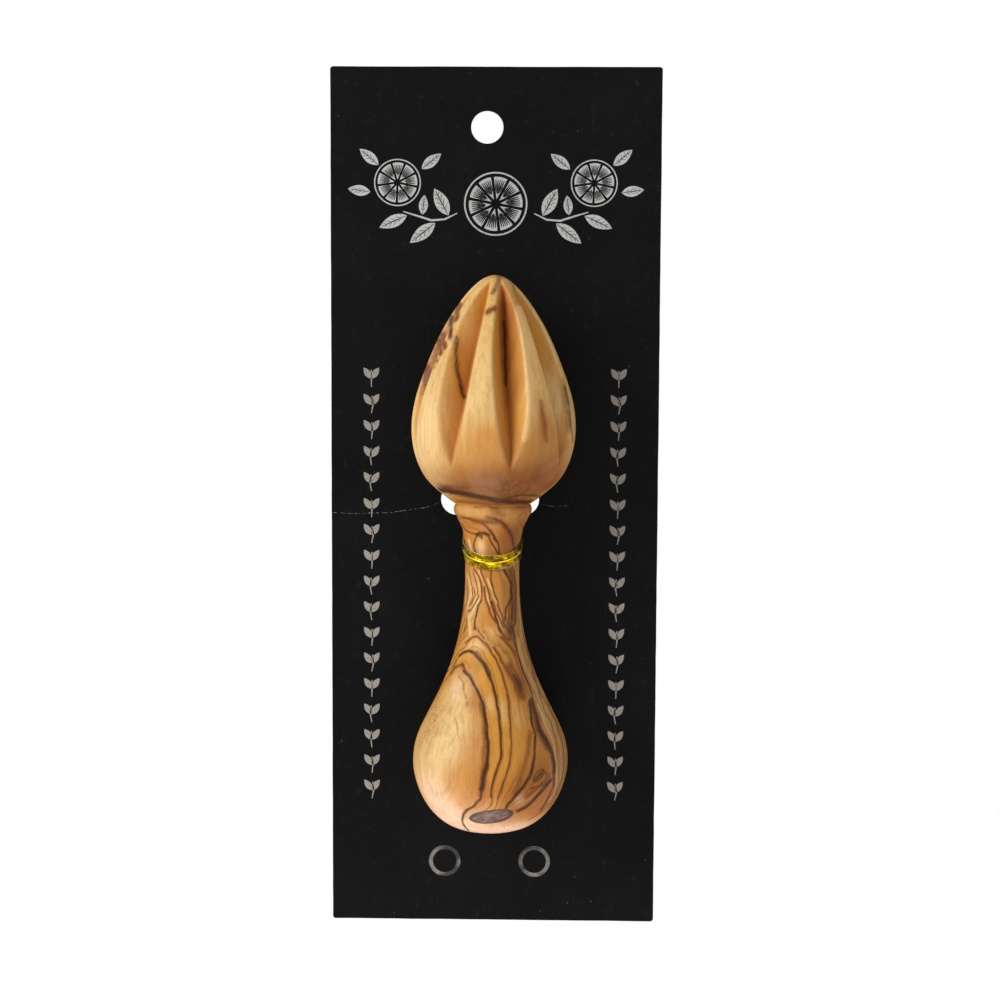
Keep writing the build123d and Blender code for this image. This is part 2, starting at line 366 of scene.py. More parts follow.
# The same on the sides and back: angle from the front in degrees, mm above the score.
RINGS_BEHIND = [
    (0.3, [(-70, -60), (-75, -72), (-60, -80)]),
    (1.0, [(-90, -50), (-100, -66), (-95, -78)]),
    (2.4, [(-115, -40), (-130, -60), (-130, -78)]),
    (5.0, [(-150, -34), (-165, -55), (180, -78)]),
    (5.0, [(-100, -10), (-100, -18), (-110, -25)]),
    (5.8, [(180, -5), (-170, -15), (165, -25), (150, -45)]),
    (7.6, [(135, -66), (140, -80), (120, -40)]),
    (8.3, [(90, -50), (92, -64), (88, -76), (90, -30), (90, -15), (95, -5)]),
    (3.0, [(0, -85.5)]),
    (4.5, [(180, -83)]),
    (-2.2, [(180, 30), (150, 10), (-150, 10), (180, 50)]),
    (-3.2, [(110, 20), (110, 40)]),
    (-3.6, [(90, 20), (88, 34), (-90, 12)]),
    (-3.4, [(-95, 30), (-100, 45), (-120, 20)]),
    (-3.6, [(-140, 35)]),
    (-1.6, [(60, 3), (120, 3), (180, 3), (-120, 3), (-60, 3)]),
]
# Main dark lines: ring number, half width in ring numbers and strength.
DARK_RINGS = [
    (1.0, 0.06, 0.35), (1.22, 0.05, 0.3), (2.0, 0.12, 1.0), (2.2, 0.05, 0.4), (3.0, 0.12, 0.95),
    (3.22, 0.05, 0.4), (4.0, 0.12, 0.5), (4.4, 0.08, 0.55), (4.7, 0.06, 0.5), (5.0, 0.14, 0.85),
    (5.4, 0.08, 0.7), (6.0, 0.2, 0.95), (6.4, 0.1, 0.75), (7.0, 0.12, 0.85), (7.25, 0.05, 0.5),
    (7.5, 0.08, 0.7), (7.75, 0.05, 0.5), (8.0, 0.1, 0.75), (8.7, 0.12, 0.6),
]

# Single marks by kind: width across in mm, strength and places in pixels of the photograph.
STROKES = {
    "dark": [
        (0.85, 0.8, [(457, 338), (456, 348), (456, 358), (457, 368), (459, 378), (461, 387), (464, 397)]),
        (1.4, 0.85, [(452, 318), (451, 327), (450, 336)]),
        (1.2, 0.5, [(428, 371), (428, 381)]),
        # Painted shade: a dark line down the right flute's valley.
        (0.85, 0.75, [(504, 322), (505, 345), (505, 365), (506, 385)]),
        (1.7, 1.0, [(440, 490), (455, 492), (466, 494), (485, 498), (499, 501), (513, 502), (529, 502)]),
        (0.9, 0.65, [(502, 499), (512, 497), (520, 495), (530, 495), (540, 496)]),
        # Painted shadow in the scored line between head and collar.
        (0.6, 0.6, [(474, 507), (485, 506), (496, 508)]),
        (0.8, 0.75, [(565, 386), (569, 409), (572, 434), (573, 442)]),
        (0.55, 0.65, [(494, 518), (502, 523), (506, 527), (509, 531), (512, 536), (513, 542)]),
        (0.6, 0.7, [(513, 542), (514, 548), (513, 556)]),
        (0.5, 0.8, [(490, 531), (493, 535), (496, 540), (498, 544), (499, 549), (500, 556)]),
        (0.42, 0.8, [(489, 537), (491, 541), (493, 545), (495, 549), (499, 555)]),
        (0.75, 0.9, [(477, 535), (480, 533), (484, 533), (488, 535)]),
        (0.42, 0.8, [(482, 534), (482, 539)]),
        (0.45, 0.8, [(477, 535), (475, 539), (474, 543), (474, 547), (475, 551), (477, 556)]),
        (0.45, 0.9, [(481, 600), (479, 605), (477, 611), (476, 615), (475, 620), (475, 625), (475, 629)]),
        (0.5, 0.85, [(491, 602), (492, 607), (495, 613), (496, 619), (498, 623), (499, 628), (501, 632)]),
        (0.42, 0.8, [(491, 569), (491, 579), (492, 585), (493, 590), (495, 595), (497, 600), (498, 605)]),
        (0.65, 0.9, [(504, 570), (507, 575), (509, 579), (511, 584), (511, 591), (512, 597), (510, 601)]),
        (0.42, 0.85, [(510, 601), (508, 605), (506, 609), (505, 614), (505, 620)]),
        (0.42, 0.9, [(514, 570), (515, 579), (516, 586), (516, 600), (516, 614), (516, 621), (514, 625),
         (512, 628)]),
        (0.42, 0.75, [(512, 598), (512, 608), (512, 616), (511, 623), (510, 628)]),
        (0.5, 0.85, [(512, 628), (514, 634), (515, 642), (517, 651), (520, 662), (524, 674), (529, 684),
         (532, 694)]),
        (0.6, 0.9, [(459, 656), (464, 652), (469, 651), (473, 653), (478, 658), (482, 662), (486, 669),
         (489, 676)]),
        (0.5, 0.75, [(489, 676), (493, 686), (496, 697), (499, 712), (500, 726), (501, 741), (501, 757)]),
        (0.5, 0.7, [(501, 757), (498, 767), (494, 778), (492, 787), (491, 797)]),
        (0.45, 0.6, [(510, 722), (511, 744), (509, 766), (504, 782), (501, 793), (498, 799)]),
        (0.6, 0.95, [(464, 671), (469, 676), (473, 682), (477, 690), (480, 697), (483, 704), (485, 713)]),
        (0.65, 1.0, [(485, 713), (486, 724), (487, 734), (488, 741), (488, 755), (487, 764)]),
        (0.85, 1.0, [(487, 764), (485, 773), (483, 781), (482, 790)]),
        (0.5, 0.95, [(482, 790), (480, 799), (474, 806), (467, 810), (463, 815), (462, 820), (465, 827),
         (469, 831)]),
        (0.8, 0.65, [(514, 675), (518, 683), (521, 691)]),
        (0.6, 0.95, [(530, 700), (530, 708), (531, 716), (532, 724), (535, 734), (535, 746), (534, 758)]),
        (0.7, 1.0, [(534, 758), (533, 766), (531, 773), (529, 778), (524, 786), (517, 794), (510, 802),
         (506, 808)]),
        (0.8, 0.9, [(532, 698), (534, 708), (536, 716), (538, 724), (540, 730)]),
        (1.3, 0.95, [(540, 730), (545, 738), (549, 746), (552, 754), (554, 763), (554, 772)]),
        (0.8, 0.9, [(554, 772), (554, 780), (553, 787), (550, 794), (546, 802), (541, 810)]),
        (1.0, 0.9, [(551, 780), (546, 786), (541, 792), (537, 796), (533, 801), (526, 807), (518, 811)]),
        (0.5, 0.8, [(538, 689), (540, 698), (543, 706), (546, 714), (551, 722), (553, 730), (556, 738)]),
        (0.5, 0.6, [(556, 738), (557, 748), (557, 758), (558, 770), (558, 780), (556, 788), (552, 796)]),
        (0.6, 0.9, [(546, 698), (549, 706), (552, 714), (556, 722), (558, 730), (561, 738), (563, 746)]),
        (0.6, 0.85, [(563, 746), (564, 756), (564, 768), (562, 778), (559, 788), (554, 800), (548, 808)]),
        (0.5, 0.8, [(534, 781), (538, 777), (542, 773), (543, 770)]),
        (0.4, 0.75, [(530, 789), (538, 786), (545, 781), (547, 774), (543, 769), (537, 772), (533, 779)]),
        (0.34, 0.75, [(537, 781), (541, 778), (544, 774), (542, 772), (538, 776), (535, 782)]),
        (0.3, 0.6, [(515, 808), (523, 801), (530, 795), (537, 790)]),
    ],
    "brown": [
        (2.2, 0.45, [(457, 345), (456, 360), (458, 376), (462, 392)]),
        (1.8, 0.95, [(459, 306), (458, 313), (456, 319)]),
        (1.4, 1.0, [(443, 335), (445, 347)]),
        (1.4, 1.0, [(439, 341), (441, 353)]),
        (1.2, 0.75, [(436, 349), (437, 361)]),
        (1.1, 0.6, [(433, 357), (434, 367)]),
        (2.2, 1.0, [(427, 368), (428, 376), (427, 384)]),
        (1.5, 0.6, [(423, 386), (422, 393)]),
        (1.2, 0.68, [(499, 276), (498, 282), (495, 289), (493, 293)]),
        (1.5, 0.55, [(512, 284), (516, 294), (519, 303)]),
        (1.5, 0.85, [(488, 312), (491, 310), (495, 308)]),
        # Painted shade down the right flute's valley, in this mark and the next.
        (2.6, 0.55, [(503, 304), (504, 316), (505, 334), (505, 352), (506, 370)]),
        (1.2, 0.4, [(506, 372), (507, 390), (508, 405)]),
        # Painted shadow in the scored groove at the collar's top.
        (1.6, 0.6, [(458, 501), (475, 503), (495, 505), (515, 505), (528, 504)]),
        (1.8, 0.5, [(493, 510), (498, 512), (503, 515)]),
        (1.6, 0.5, [(563, 380), (566, 405), (569, 430)]),
        (1.3, 0.6, [(541, 402), (543, 415), (545, 428), (546, 440)]),
        (1.6, 0.35, [(568, 442), (556, 457), (540, 467), (522, 473)]),
        (1.4, 0.35, [(562, 462), (548, 473), (530, 481), (512, 486)]),
        (1.2, 0.3, [(438, 472), (450, 479), (468, 484), (490, 487)]),
        (1.3, 0.8, [(472, 520), (480, 522), (488, 522), (497, 522)]),
        (1.3, 0.8, [(488, 518), (496, 519), (502, 523), (506, 527), (509, 531), (512, 536), (513, 542)]),
        (0.7, 0.95, [(462, 517), (474, 520), (482, 523), (487, 527), (490, 531), (493, 535), (496, 540)]),
        (0.5, 0.9, [(462, 524), (467, 531), (471, 533), (476, 534)]),
        (0.45, 0.6, [(466, 526), (470, 527), (476, 529), (480, 530)]),
        (0.45, 0.95, [(474, 569), (477, 574), (479, 578), (481, 584), (482, 589), (482, 595),
         (481, 600)]),
        (0.45, 0.95, [(481, 570), (482, 574), (484, 580), (486, 585), (488, 591), (490, 596),
         (491, 602)]),
        (0.6, 0.95, [(501, 632), (504, 637), (508, 640), (510, 639)]),
        (0.42, 0.95, [(484, 587), (485, 594), (486, 601), (488, 607), (490, 613), (493, 618),
         (496, 623)]),
        (0.42, 0.95, [(498, 605), (500, 611), (502, 617), (504, 623), (507, 629)]),
        (0.42, 0.9, [(492, 601), (494, 606), (496, 611), (498, 616), (501, 621), (504, 627)]),
        (0.42, 0.9, [(511, 598), (510, 606), (509, 612), (509, 618), (508, 624)]),
        (1.5, 0.85, [(510, 571), (513, 579), (514, 590), (514, 604), (513, 618)]),
        (0.5, 0.9, [(500, 637), (504, 640), (510, 647), (514, 652), (516, 656)]),
        (0.3, 0.95, [(467, 587), (468, 595), (467, 601), (466, 606)]),
        (0.3, 0.95, [(472, 590), (473, 595), (472, 600), (470, 604), (469, 607)]),
        (0.3, 0.95, [(474, 588), (475, 595), (473, 601), (471, 606)]),
        (0.35, 0.9, [(477, 592), (478, 597), (476, 602), (473, 607), (471, 610), (469, 611)]),
        (0.3, 0.8, [(470, 574), (471, 582), (473, 589)]),
        (0.3, 0.8, [(473, 572), (475, 579), (477, 585), (478, 591)]),
        (0.45, 0.9, [(467, 619), (466, 625), (464, 631)]),
        (0.45, 0.8, [(478, 629), (480, 634), (484, 638)]),
        (0.5, 0.9, [(465, 643), (470, 639), (473, 637), (477, 636), (481, 640), (487, 645), (491, 651)]),
        (0.9, 0.45, [(489, 676), (496, 697), (500, 726), (501, 757), (494, 778), (491, 797)]),
        (0.5, 0.85, [(487, 645), (494, 656), (500, 668), (504, 680), (507, 691), (509, 703), (510, 722)]),
        (0.6, 0.9, [(494, 647), (498, 654), (502, 662), (507, 671), (512, 678)]),
        (1.2, 0.7, [(481, 704), (484, 720), (485, 740), (484, 760), (482, 780), (480, 795)]),
        (0.5, 0.6, [(459, 676), (463, 682), (464, 690), (466, 698)]),
        (0.7, 0.8, [(450, 674), (455, 668), (462, 664), (465, 670)]),
        (0.4, 0.5, [(455, 718), (457, 726), (459, 738)]),
        (0.4, 0.4, [(463, 716), (464, 732), (465, 756)]),
        (0.4, 0.4, [(473, 712), (474, 735), (474, 764)]),
        (0.55, 0.8, [(528, 646), (530, 657), (533, 669), (536, 681)]),
        (1.4, 0.65, [(530, 733), (529, 746), (526, 760), (522, 773), (518, 786), (515, 794)]),
        (2.2, 0.8, [(508, 668), (513, 676), (518, 686), (522, 696)]),
        (2.2, 0.9, [(532, 706), (536, 718), (539, 730), (543, 738), (547, 745)]),
        (0.8, 0.8, [(526, 797), (533, 791), (540, 787), (547, 783), (549, 775)]),
        (0.5, 0.8, [(557, 790), (551, 800), (544, 809), (536, 816), (528, 820)]),
    ],
    "pale": [
        # Painted highlight along the right flute's right ridge.
        (1.5, 0.75, [(518, 308), (523, 325), (527, 348), (530, 375), (530, 400), (528, 420), (524, 438)]),
        (0.9, 0.9, [(469, 541), (470, 546), (472, 552)]),
        (0.45, 1.0, [(467, 574), (469, 581), (471, 588), (471, 593), (470, 597), (468, 603), (467, 608)]),
        # Painted highlight along the neck's left edge.
        (0.45, 0.9, [(465, 565), (466, 577), (466, 593), (465, 604)]),
        (0.4, 0.85, [(475, 590), (477, 594), (476, 598), (474, 602), (472, 606), (469, 608)]),
        (0.5, 0.95, [(476, 574), (479, 581), (480, 587), (481, 593), (481, 598), (477, 603), (474, 607)]),
        (0.8, 0.95, [(474, 607), (472, 612), (469, 617), (469, 622), (470, 628), (470, 634)]),
        (0.45, 0.8, [(479, 571), (482, 578), (485, 585), (487, 591), (488, 596), (489, 601), (492, 607)]),
        (0.4, 0.6, [(492, 607), (495, 613), (498, 619), (501, 626)]),
        (0.45, 0.8, [(488, 579), (490, 587), (493, 592), (495, 598), (497, 603), (499, 609), (502, 621)]),
        (0.8, 0.55, [(518, 570), (518, 590), (519, 606), (520, 618), (521, 628), (522, 640)]),
        (1.5, 0.55, [(518, 640), (521, 655), (525, 666), (530, 677), (535, 688), (540, 699), (546, 711)]),
        (0.5, 0.9, [(538, 705), (542, 714), (544, 722), (548, 730), (552, 738), (554, 746), (555, 754)]),
        (0.5, 0.9, [(555, 754), (557, 764), (557, 774), (557, 784), (554, 794), (549, 802)]),
        (0.4, 0.7, [(554, 722), (555, 732), (560, 744), (561, 758), (561, 770), (560, 782)]),
        (0.3, 0.35, [(532, 786), (539, 782), (544, 777), (544, 772)]),
    ],
}
# Soft patches by kind: place in pixels (x, y), spread across and along in mm, strength.
PATCHES = {
    # Pale: paler wood, with painted highlights where the light falls on the left of the head (425, 430) and
    # the bulb (450, 738), (428, 762), and along a flute's ridge (529, 385).
    "pale": [
        (425, 430, 6.0, 15.0, 1.0), (440, 466, 6.0, 4.0, 0.5), (483, 385, 3.0, 13.0, 0.5),
        (529, 385, 1.3, 14.0, 0.5), (450, 738, 4.5, 12.0, 1.0), (549, 390, 3.0, 8.0, 0.7),
        (560, 408, 2.4, 8.0, 0.7), (481, 547, 1.3, 2.4, 0.9), (542, 712, 3.0, 8.0, 0.5),
        (428, 762, 4.0, 8.0, 0.4), (460, 690, 3.0, 4.0, 0.4), (473, 600, 2.4, 8.0, 0.6),
        (494, 632, 3.0, 1.6, 0.5), (478, 646, 4.5, 1.6, 0.6), (490, 704, 1.0, 8.0, 0.7),
        (503, 712, 1.2, 8.0, 0.6), (519, 716, 1.6, 6.0, 0.4), (464, 510, 3.0, 1.0, 0.35),
        (469, 326, 2.4, 7.0, 0.4),
    ],
    # Tan: wood tone, with painted shade on the head's underside at (556, 465), (492, 448), (503, 467) and
    # (450, 473).
    "tan": [
        (546, 430, 5.0, 8.0, 0.6), (465, 511, 3.0, 1.2, 0.5), (556, 465, 9.0, 9.0, 1.0),
        (515, 300, 4.0, 7.0, 0.7), (492, 448, 14.0, 6.0, 0.6), (484, 432, 4.5, 3.5, 0.5),
        (518, 386, 1.4, 7.0, 0.9), (452, 790, 5.0, 4.0, 0.5), (470, 790, 4.0, 6.0, 0.8),
        (503, 467, 13.0, 6.0, 1.0), (450, 473, 8.0, 4.0, 0.3), (474, 755, 3.0, 17.0, 0.9),
        (477, 703, 1.6, 3.0, 0.9), (462, 785, 5.0, 7.0, 0.7), (512, 535, 4.5, 5.0, 0.8),
        (520, 510, 4.0, 1.6, 0.8), (502, 590, 3.0, 8.0, 0.6), (546, 752, 4.0, 14.0, 0.7),
    ],
    # Reddish wood, with painted shade across the head's underside at (510, 483).
    "rust": [
        (543, 422, 1.3, 5.0, 0.9), (550, 480, 8.0, 4.0, 0.8), (504, 540, 2.6, 5.0, 1.0),
        (518, 530, 2.6, 7.0, 0.9), (513, 594, 0.9, 8.0, 0.8), (475, 700, 2.0, 3.6, 0.5),
        (549, 797, 4.0, 5.0, 1.0), (536, 811, 5.0, 3.0, 1.0), (508, 320, 1.8, 5.0, 0.9),
        (512, 345, 2.0, 7.0, 0.8), (515, 375, 1.6, 7.0, 0.5), (502, 335, 1.5, 9.0, 0.6),
        (503, 296, 1.4, 4.0, 0.8), (499, 274, 3.5, 2.5, 0.55), (524, 792, 3.0, 3.0, 0.5),
        (500, 790, 3.0, 4.0, 0.4), (484, 785, 1.5, 6.0, 0.6), (510, 483, 18.0, 4.6, 0.9),
        (452, 322, 2.6, 5.0, 0.3), (440, 344, 3.0, 6.0, 0.3), (428, 374, 3.0, 6.0, 0.3),
        (505, 320, 3.0, 7.0, 0.8), (520, 792, 12.0, 5.0, 0.5),
    ],
    # Brown: darker wood, with painted shade under the head at (452, 489), (475, 494), (505, 496), (532,
    # 490), (502, 488), (497, 477) and (545, 468), and a painted shadow in the scored groove at (484, 503).
    "brown": [
        (441, 345, 2.4, 4.5, 0.4), (452, 489, 6.0, 1.2, 0.7), (475, 494, 7.0, 1.4, 0.9),
        (505, 496, 8.0, 1.8, 0.9), (532, 490, 6.0, 2.4, 0.8), (502, 488, 16.0, 3.0, 0.55),
        (517, 388, 1.5, 8.0, 0.35), (509, 326, 1.5, 4.5, 0.4), (513, 350, 1.6, 6.0, 0.35),
        (497, 477, 18.0, 4.5, 0.55), (516, 528, 3.0, 6.0, 0.3), (504, 540, 2.0, 4.0, 0.25),
        (489, 548, 1.0, 2.5, 0.35), (525, 792, 4.0, 4.0, 0.35), (497, 512, 1.8, 1.6, 0.45),
        (536, 712, 1.3, 3.6, 0.7), (470, 790, 3.0, 5.0, 0.22), (545, 468, 8.0, 7.0, 0.35),
        (484, 503, 9.0, 0.9, 0.5), (540, 776, 3.4, 4.0, 0.7), (519, 684, 1.8, 3.2, 0.8),
        (509, 632, 1.4, 3.0, 0.7), (512, 612, 1.5, 6.0, 0.45), (453, 670, 1.5, 1.5, 0.5),
        (476, 666, 2.0, 1.5, 0.35),
    ],
    # Painted light from below on the bulb's underside, in pink.
    "pink_light": [
        (432, 795, 6.0, 7.0, 0.8), (448, 814, 6.0, 5.0, 0.9), (456, 690, 2.2, 3.5, 0.6),
        (470, 828, 9.0, 3.6, 1.0), (514, 829, 7.0, 2.2, 0.9), (520, 800, 1.4, 1.8, 0.5),
    ],
    "dark": [
        (520, 684, 0.9, 2.0, 0.7), (483, 779, 0.7, 1.0, 0.9), (467, 704, 0.6, 1.0, 0.6),
        (456, 661, 0.6, 0.8, 0.8), (454, 667, 0.7, 0.7, 0.8), (452, 673, 0.5, 0.5, 0.8),
        (463, 665, 0.6, 0.5, 0.7), (480, 536, 0.5, 0.5, 0.8), (485, 533, 0.4, 0.5, 0.8),
        (484, 632, 0.5, 0.4, 0.6), (475, 628, 0.5, 0.5, 0.8), (470, 611, 0.4, 0.4, 0.6),
        (516, 647, 0.4, 0.6, 0.7), (510, 632, 0.9, 1.6, 0.8), (451, 338, 0.8, 1.0, 0.6),
        (495, 290, 0.7, 0.7, 0.4), (444, 488, 2.0, 1.0, 0.7),
    ],
    "knot": [
        (491, 817, 4.6, 1.8, 1.0), (481, 820, 2.5, 1.0, 0.8), (502, 813, 2.5, 1.0, 0.8),
    ],
    "fine": [
        (462, 640, 2.5, 5.0, 0.6), (535, 675, 2.0, 9.0, 0.8), (560, 745, 2.0, 12.0, 0.8),
        (560, 780, 3.0, 6.0, 0.8), (519, 684, 2.4, 3.0, 0.8), (540, 795, 4.0, 4.0, 0.7),
    ],
    "ripple": [
        (430, 724, 3.6, 8.0, 1.0), (437, 700, 2.4, 5.0, 0.8),
    ],
    "calm": [
        (489, 600, 8.0, 13.0, 1.0), (490, 533, 9.0, 6.5, 1.0), (523, 745, 3.2, 16.0, 1.0),
        (545, 750, 4.0, 14.0, 1.0), (530, 815, 9.0, 4.0, 1.0), (492, 829, 15.0, 4.0, 1.0),
        (530, 706, 3.0, 5.0, 1.0), (475, 682, 2.0, 5.0, 0.8), (552, 780, 5.0, 10.0, 0.9),
        (552, 725, 3.5, 10.0, 0.9), (480, 505, 14.0, 3.0, 1.0),
    ],
}


def camera_axes():
    """Right, up and backward directions of the photograph's camera."""
    e, a = CAMERA_ELEVATION, CAMERA_AZIMUTH
    back = Vector((math.sin(a) * math.cos(e), -math.cos(a) * math.cos(e), math.sin(e)))
    right = (-back).cross(Vector((0, 0, 1))).normalized()
    up = right.cross(-back)
    c, s = math.cos(CAMERA_ROLL), math.sin(CAMERA_ROLL)
    return right * c + up * s, up * c - right * s, back


def place_in_scene(name, data):
    """A new object in the scene."""
    thing = bpy.data.objects.new(name, data)
    bpy.context.scene.collection.objects.link(thing)
    return thing


def make_camera():
    """The camera at the photograph's viewing angle."""
    right, up, back = camera_axes()
    camera = bpy.data.cameras.new("camera")
    camera.sensor_width = SENSOR
    camera.lens = FOCAL_PIXELS / IMAGE_PIXELS * SENSOR
    camera.clip_start = CAMERA_CLIP
    thing = place_in_scene("camera", camera)
    turn = Matrix((right, up, back)).transposed().to_4x4()
    thing.matrix_world = Matrix.Translation(LOOK_AT + back * CAMERA_DISTANCE) @ turn
    bpy.context.scene.camera = thing


def srgb(text):
    """A linear colour from its six hexadecimal digits."""
    values = [int(text[i:i + 2], 16) / 255 for i in (0, 2, 4)]
    return [v / 12.92 if v <= 0.04045 else ((v + 0.055) / 1.055) ** 2.4 for v in values] + [1.0]


class Tree:
    """A short way to write node trees."""

    def __init__(self, owner):
        owner.use_nodes = True
        owner.node_tree.nodes.clear()
        self.owner = owner
        self.tree = owner.node_tree

    def add(self, kind, inputs=None, **settings):
        """A node whose inputs are values or the outputs of other nodes."""
        node = self.tree.nodes.new("ShaderNode" + kind)
        for name, value in settings.items():
            setattr(node, name, value)
        for key, value in (inputs or {}).items():
            if isinstance(value, bpy.types.NodeSocket):
                self.tree.links.new(value, node.inputs[key])
            else:
                node.inputs[key].default_value = value
        return node

    def math(self, operation, first, second=0.0, third=0.0):
        """One arithmetic step."""
        return self.add("Math", {0: first, 1: second, 2: third}, operation=operation).outputs[0]

    def times(self, first, second):
        """One number times another."""
        return self.math("MULTIPLY", first, second)

    def centred(self, noise, size=1.0):
        """Noise from 0 to 1, moved to lie about 0 and given a size."""
        middle = self.math("SUBTRACT", noise, 0.5)
        return middle if size == 1.0 else self.times(middle, size)

    def scaled(self, vector, scale):
        """A vector times a vector of three numbers."""
        return self.add("VectorMath", {0: vector, 1: scale}, operation="MULTIPLY").outputs[0]

    def turned(self, vector, angle):
        """A vector turned in the plane of the card."""
        inputs = {"Vector": vector, "Angle": angle}
        return self.add("VectorRotate", inputs, rotation_type="Y_AXIS").outputs[0]

    def noise(self, vector, scale, detail=3.0, roughness=0.5, distortion=0.0):
        """Smooth noise from 0 to 1, with three numbers for how fine it is along x, y and z."""
        inputs = {"Vector": self.scaled(vector, scale), "Scale": 1.0, "Detail": detail}
        inputs.update({"Roughness": roughness, "Distortion": distortion})
        return self.add("TexNoise", inputs).outputs[0]

    def step(self, value, low, high, start=0.0, end=1.0):
        """A soft step: start below low, end above high."""
        inputs = {0: value, 1: low, 2: high, 3: start, 4: end}
        return self.add("MapRange", inputs, interpolation_type="SMOOTHSTEP").outputs[0]

    def step_linear(self, value, low, high):
        """From 0 at low to 1 at high in a straight line."""
        return self.add("MapRange", {0: value, 1: low, 2: high}).outputs[0]

    def ramp(self, value, stops):
        """A colour ramp of (place, colour) stops."""
        node = self.add("ValToRGB", {0: value})
        ramp = node.color_ramp
        while len(ramp.elements) < len(stops):
            ramp.elements.new(0.5)
        for element, (place, colour) in zip(ramp.elements, stops):
            element.position = place
            element.color = srgb(colour)
        return node.outputs[0]

    def mix(self, factor, first, second, mode="MIX"):
        """Two colours, blended. Each is an output or six hexadecimal digits."""
        first, second = (srgb(c) if isinstance(c, str) else c for c in (first, second))
        node = self.add("Mix", {0: factor, 6: first, 7: second}, data_type="RGBA", blend_type=mode)
        return node.outputs[2]

    def attribute(self, name):
        """A number that the mesh carries."""
        return self.add("Attribute", attribute_name=name).outputs["Fac"]

    def along(self, place, axis):
        """One coordinate of a place."""
        return self.add("SeparateXYZ", {0: place}).outputs[axis]

    def bump(self, height, distance_mm, strength):
        """A bump whose height of 1 stands for that many millimetres."""
        inputs = {"Height": height, "Distance": distance_mm * MM, "Strength": strength}
        return self.add("Bump", inputs).outputs[0]

    def finish(self, colour, roughness, bump=None, **sockets):
        """The finished material, with constants on the other sockets of its surface."""
        names = {"Base Color": colour, "Roughness": roughness}
        names.update({key.replace("_", " "): value for key, value in sockets.items()})
        if bump is not None:
            names["Normal"] = bump
        surface = self.add("BsdfPrincipled", names)
        self.add("OutputMaterial", {0: surface.outputs[0]})
        return self.owner


def new_material(name):
    """The empty node tree of a new material, and the place on the object in millimetres."""
    t = Tree(bpy.data.materials.new(name))
    return t, t.scaled(t.add("TexCoord").outputs["Object"], (1000, 1000, 1000))


def eased(values):
    """Values eased between 0 and 1, and held there beyond."""
    share = np.clip(values, 0, 1)
    return share ** 2 * (3 - 2 * share)


def clamped_spline(points, start, end):
    """Points along a smooth curve through points, with given directions at both ends."""
    points = np.array(points, float)
    gaps = np.linalg.norm(np.diff(points, axis=0), axis=1)
    size = len(points)
    matrix = np.zeros((size, size))
    right = np.zeros((size, 2))
    matrix[0, 0] = matrix[-1, -1] = 1
    right[0] = np.array(start) / np.linalg.norm(start)
    right[-1] = np.array(end) / np.linalg.norm(end)
    for i in range(1, size - 1):
        matrix[i, i - 1:i + 2] = gaps[i], 2 * (gaps[i - 1] + gaps[i]), gaps[i - 1]
        rises = (points[i + 1] - points[i]) / gaps[i] * gaps[i - 1]
        rises += (points[i] - points[i - 1]) / gaps[i - 1] * gaps[i]
        right[i] = 3 * rises
    slopes = np.linalg.solve(matrix, right)
    made = []
    for i, gap in enumerate(gaps):
        t = np.linspace(0, 1, CURVE_POINTS, endpoint=i == size - 2)[:, None]
        a, b = points[i], points[i + 1]
        p, q = slopes[i] * gap, slopes[i + 1] * gap
        made.append((2*t**3 - 3*t**2 + 1) * a + (t**3 - 2*t**2 + t) * p
                    + (3*t**2 - 2*t**3) * b + (t**3 - t**2) * q)
    return np.vstack(made)


def between(shares, radius, width, height, length):
    """Places at shares of a width beyond a radius and of a length below a height."""
    return [(radius + width * r, height - length * h) for r, h in shares]


def reamer_outline():
    """(radius, height) along the turned outline, from the tip to the centre of the butt."""
    widest = (HEAD_RADIUS, HEAD_WIDEST)
    crown = between(CROWN_SHARES, 0, HEAD_RADIUS, HEAD_WIDEST, HEAD_WIDEST - HEAD_LENGTH)
    brow = between(BROW_SHARES, 0, HEAD_RADIUS, HEAD_WIDEST, HEAD_WIDEST)
    head = [(0, HEAD_LENGTH), *crown, widest, *brow, (SCORE_RADIUS, 0)]
    turn = np.linspace(0, math.pi, COLLAR_POINTS)[1:-1]
    bulge = COLLAR_RADIUS - SCORE_RADIUS
    collar = np.stack([SCORE_RADIUS + bulge * np.sin(turn), -COLLAR_HEIGHT * (1 - np.cos(turn)) / 2], 1)
    under = (SCORE_RADIUS, -COLLAR_HEIGHT)
    neck = (NECK_RADIUS, -NECK_BELOW)
    bulb = (BULB_RADIUS, -BULB_BELOW)
    butt = (BUTT_RADIUS, -HANDLE_LENGTH)
    waist = between(NECK_SHARES, 0, NECK_RADIUS, 0, NECK_BELOW)
    swell, drop = BULB_RADIUS - NECK_RADIUS, BULB_BELOW - NECK_BELOW
    flare = between(FLARE_SHARES, NECK_RADIUS, swell, -NECK_BELOW, drop)
    heel = between(HEEL_SHARES, 0, BULB_RADIUS, -BULB_BELOW, HANDLE_LENGTH - BULB_BELOW)
    inwards = np.linspace(BUTT_RADIUS, 0, BUTT_POINTS)[1:]
    return np.vstack([
        clamped_spline(head, LEVEL, INTO_SCORE),
        collar,
        clamped_spline([under, *waist, neck], OUT_OF_COLLAR, DOWN),
        clamped_spline([neck, *flare, bulb], DOWN, DOWN)[1:],
        clamped_spline([bulb, *heel, butt], DOWN, INTO_BUTT)[1:],
        np.stack([inwards, np.full(len(inwards), -HANDLE_LENGTH)], 1),
    ])


def evenly(outline, step):
    """The same outline with points about step apart."""
    run = np.concatenate([[0], np.cumsum(np.linalg.norm(np.diff(outline, axis=0), axis=1))])
    places = np.linspace(0, run[-1], int(run[-1] / step) + 1)
    return np.stack([np.interp(places, run, outline[:, i]) for i in (0, 1)], 1)


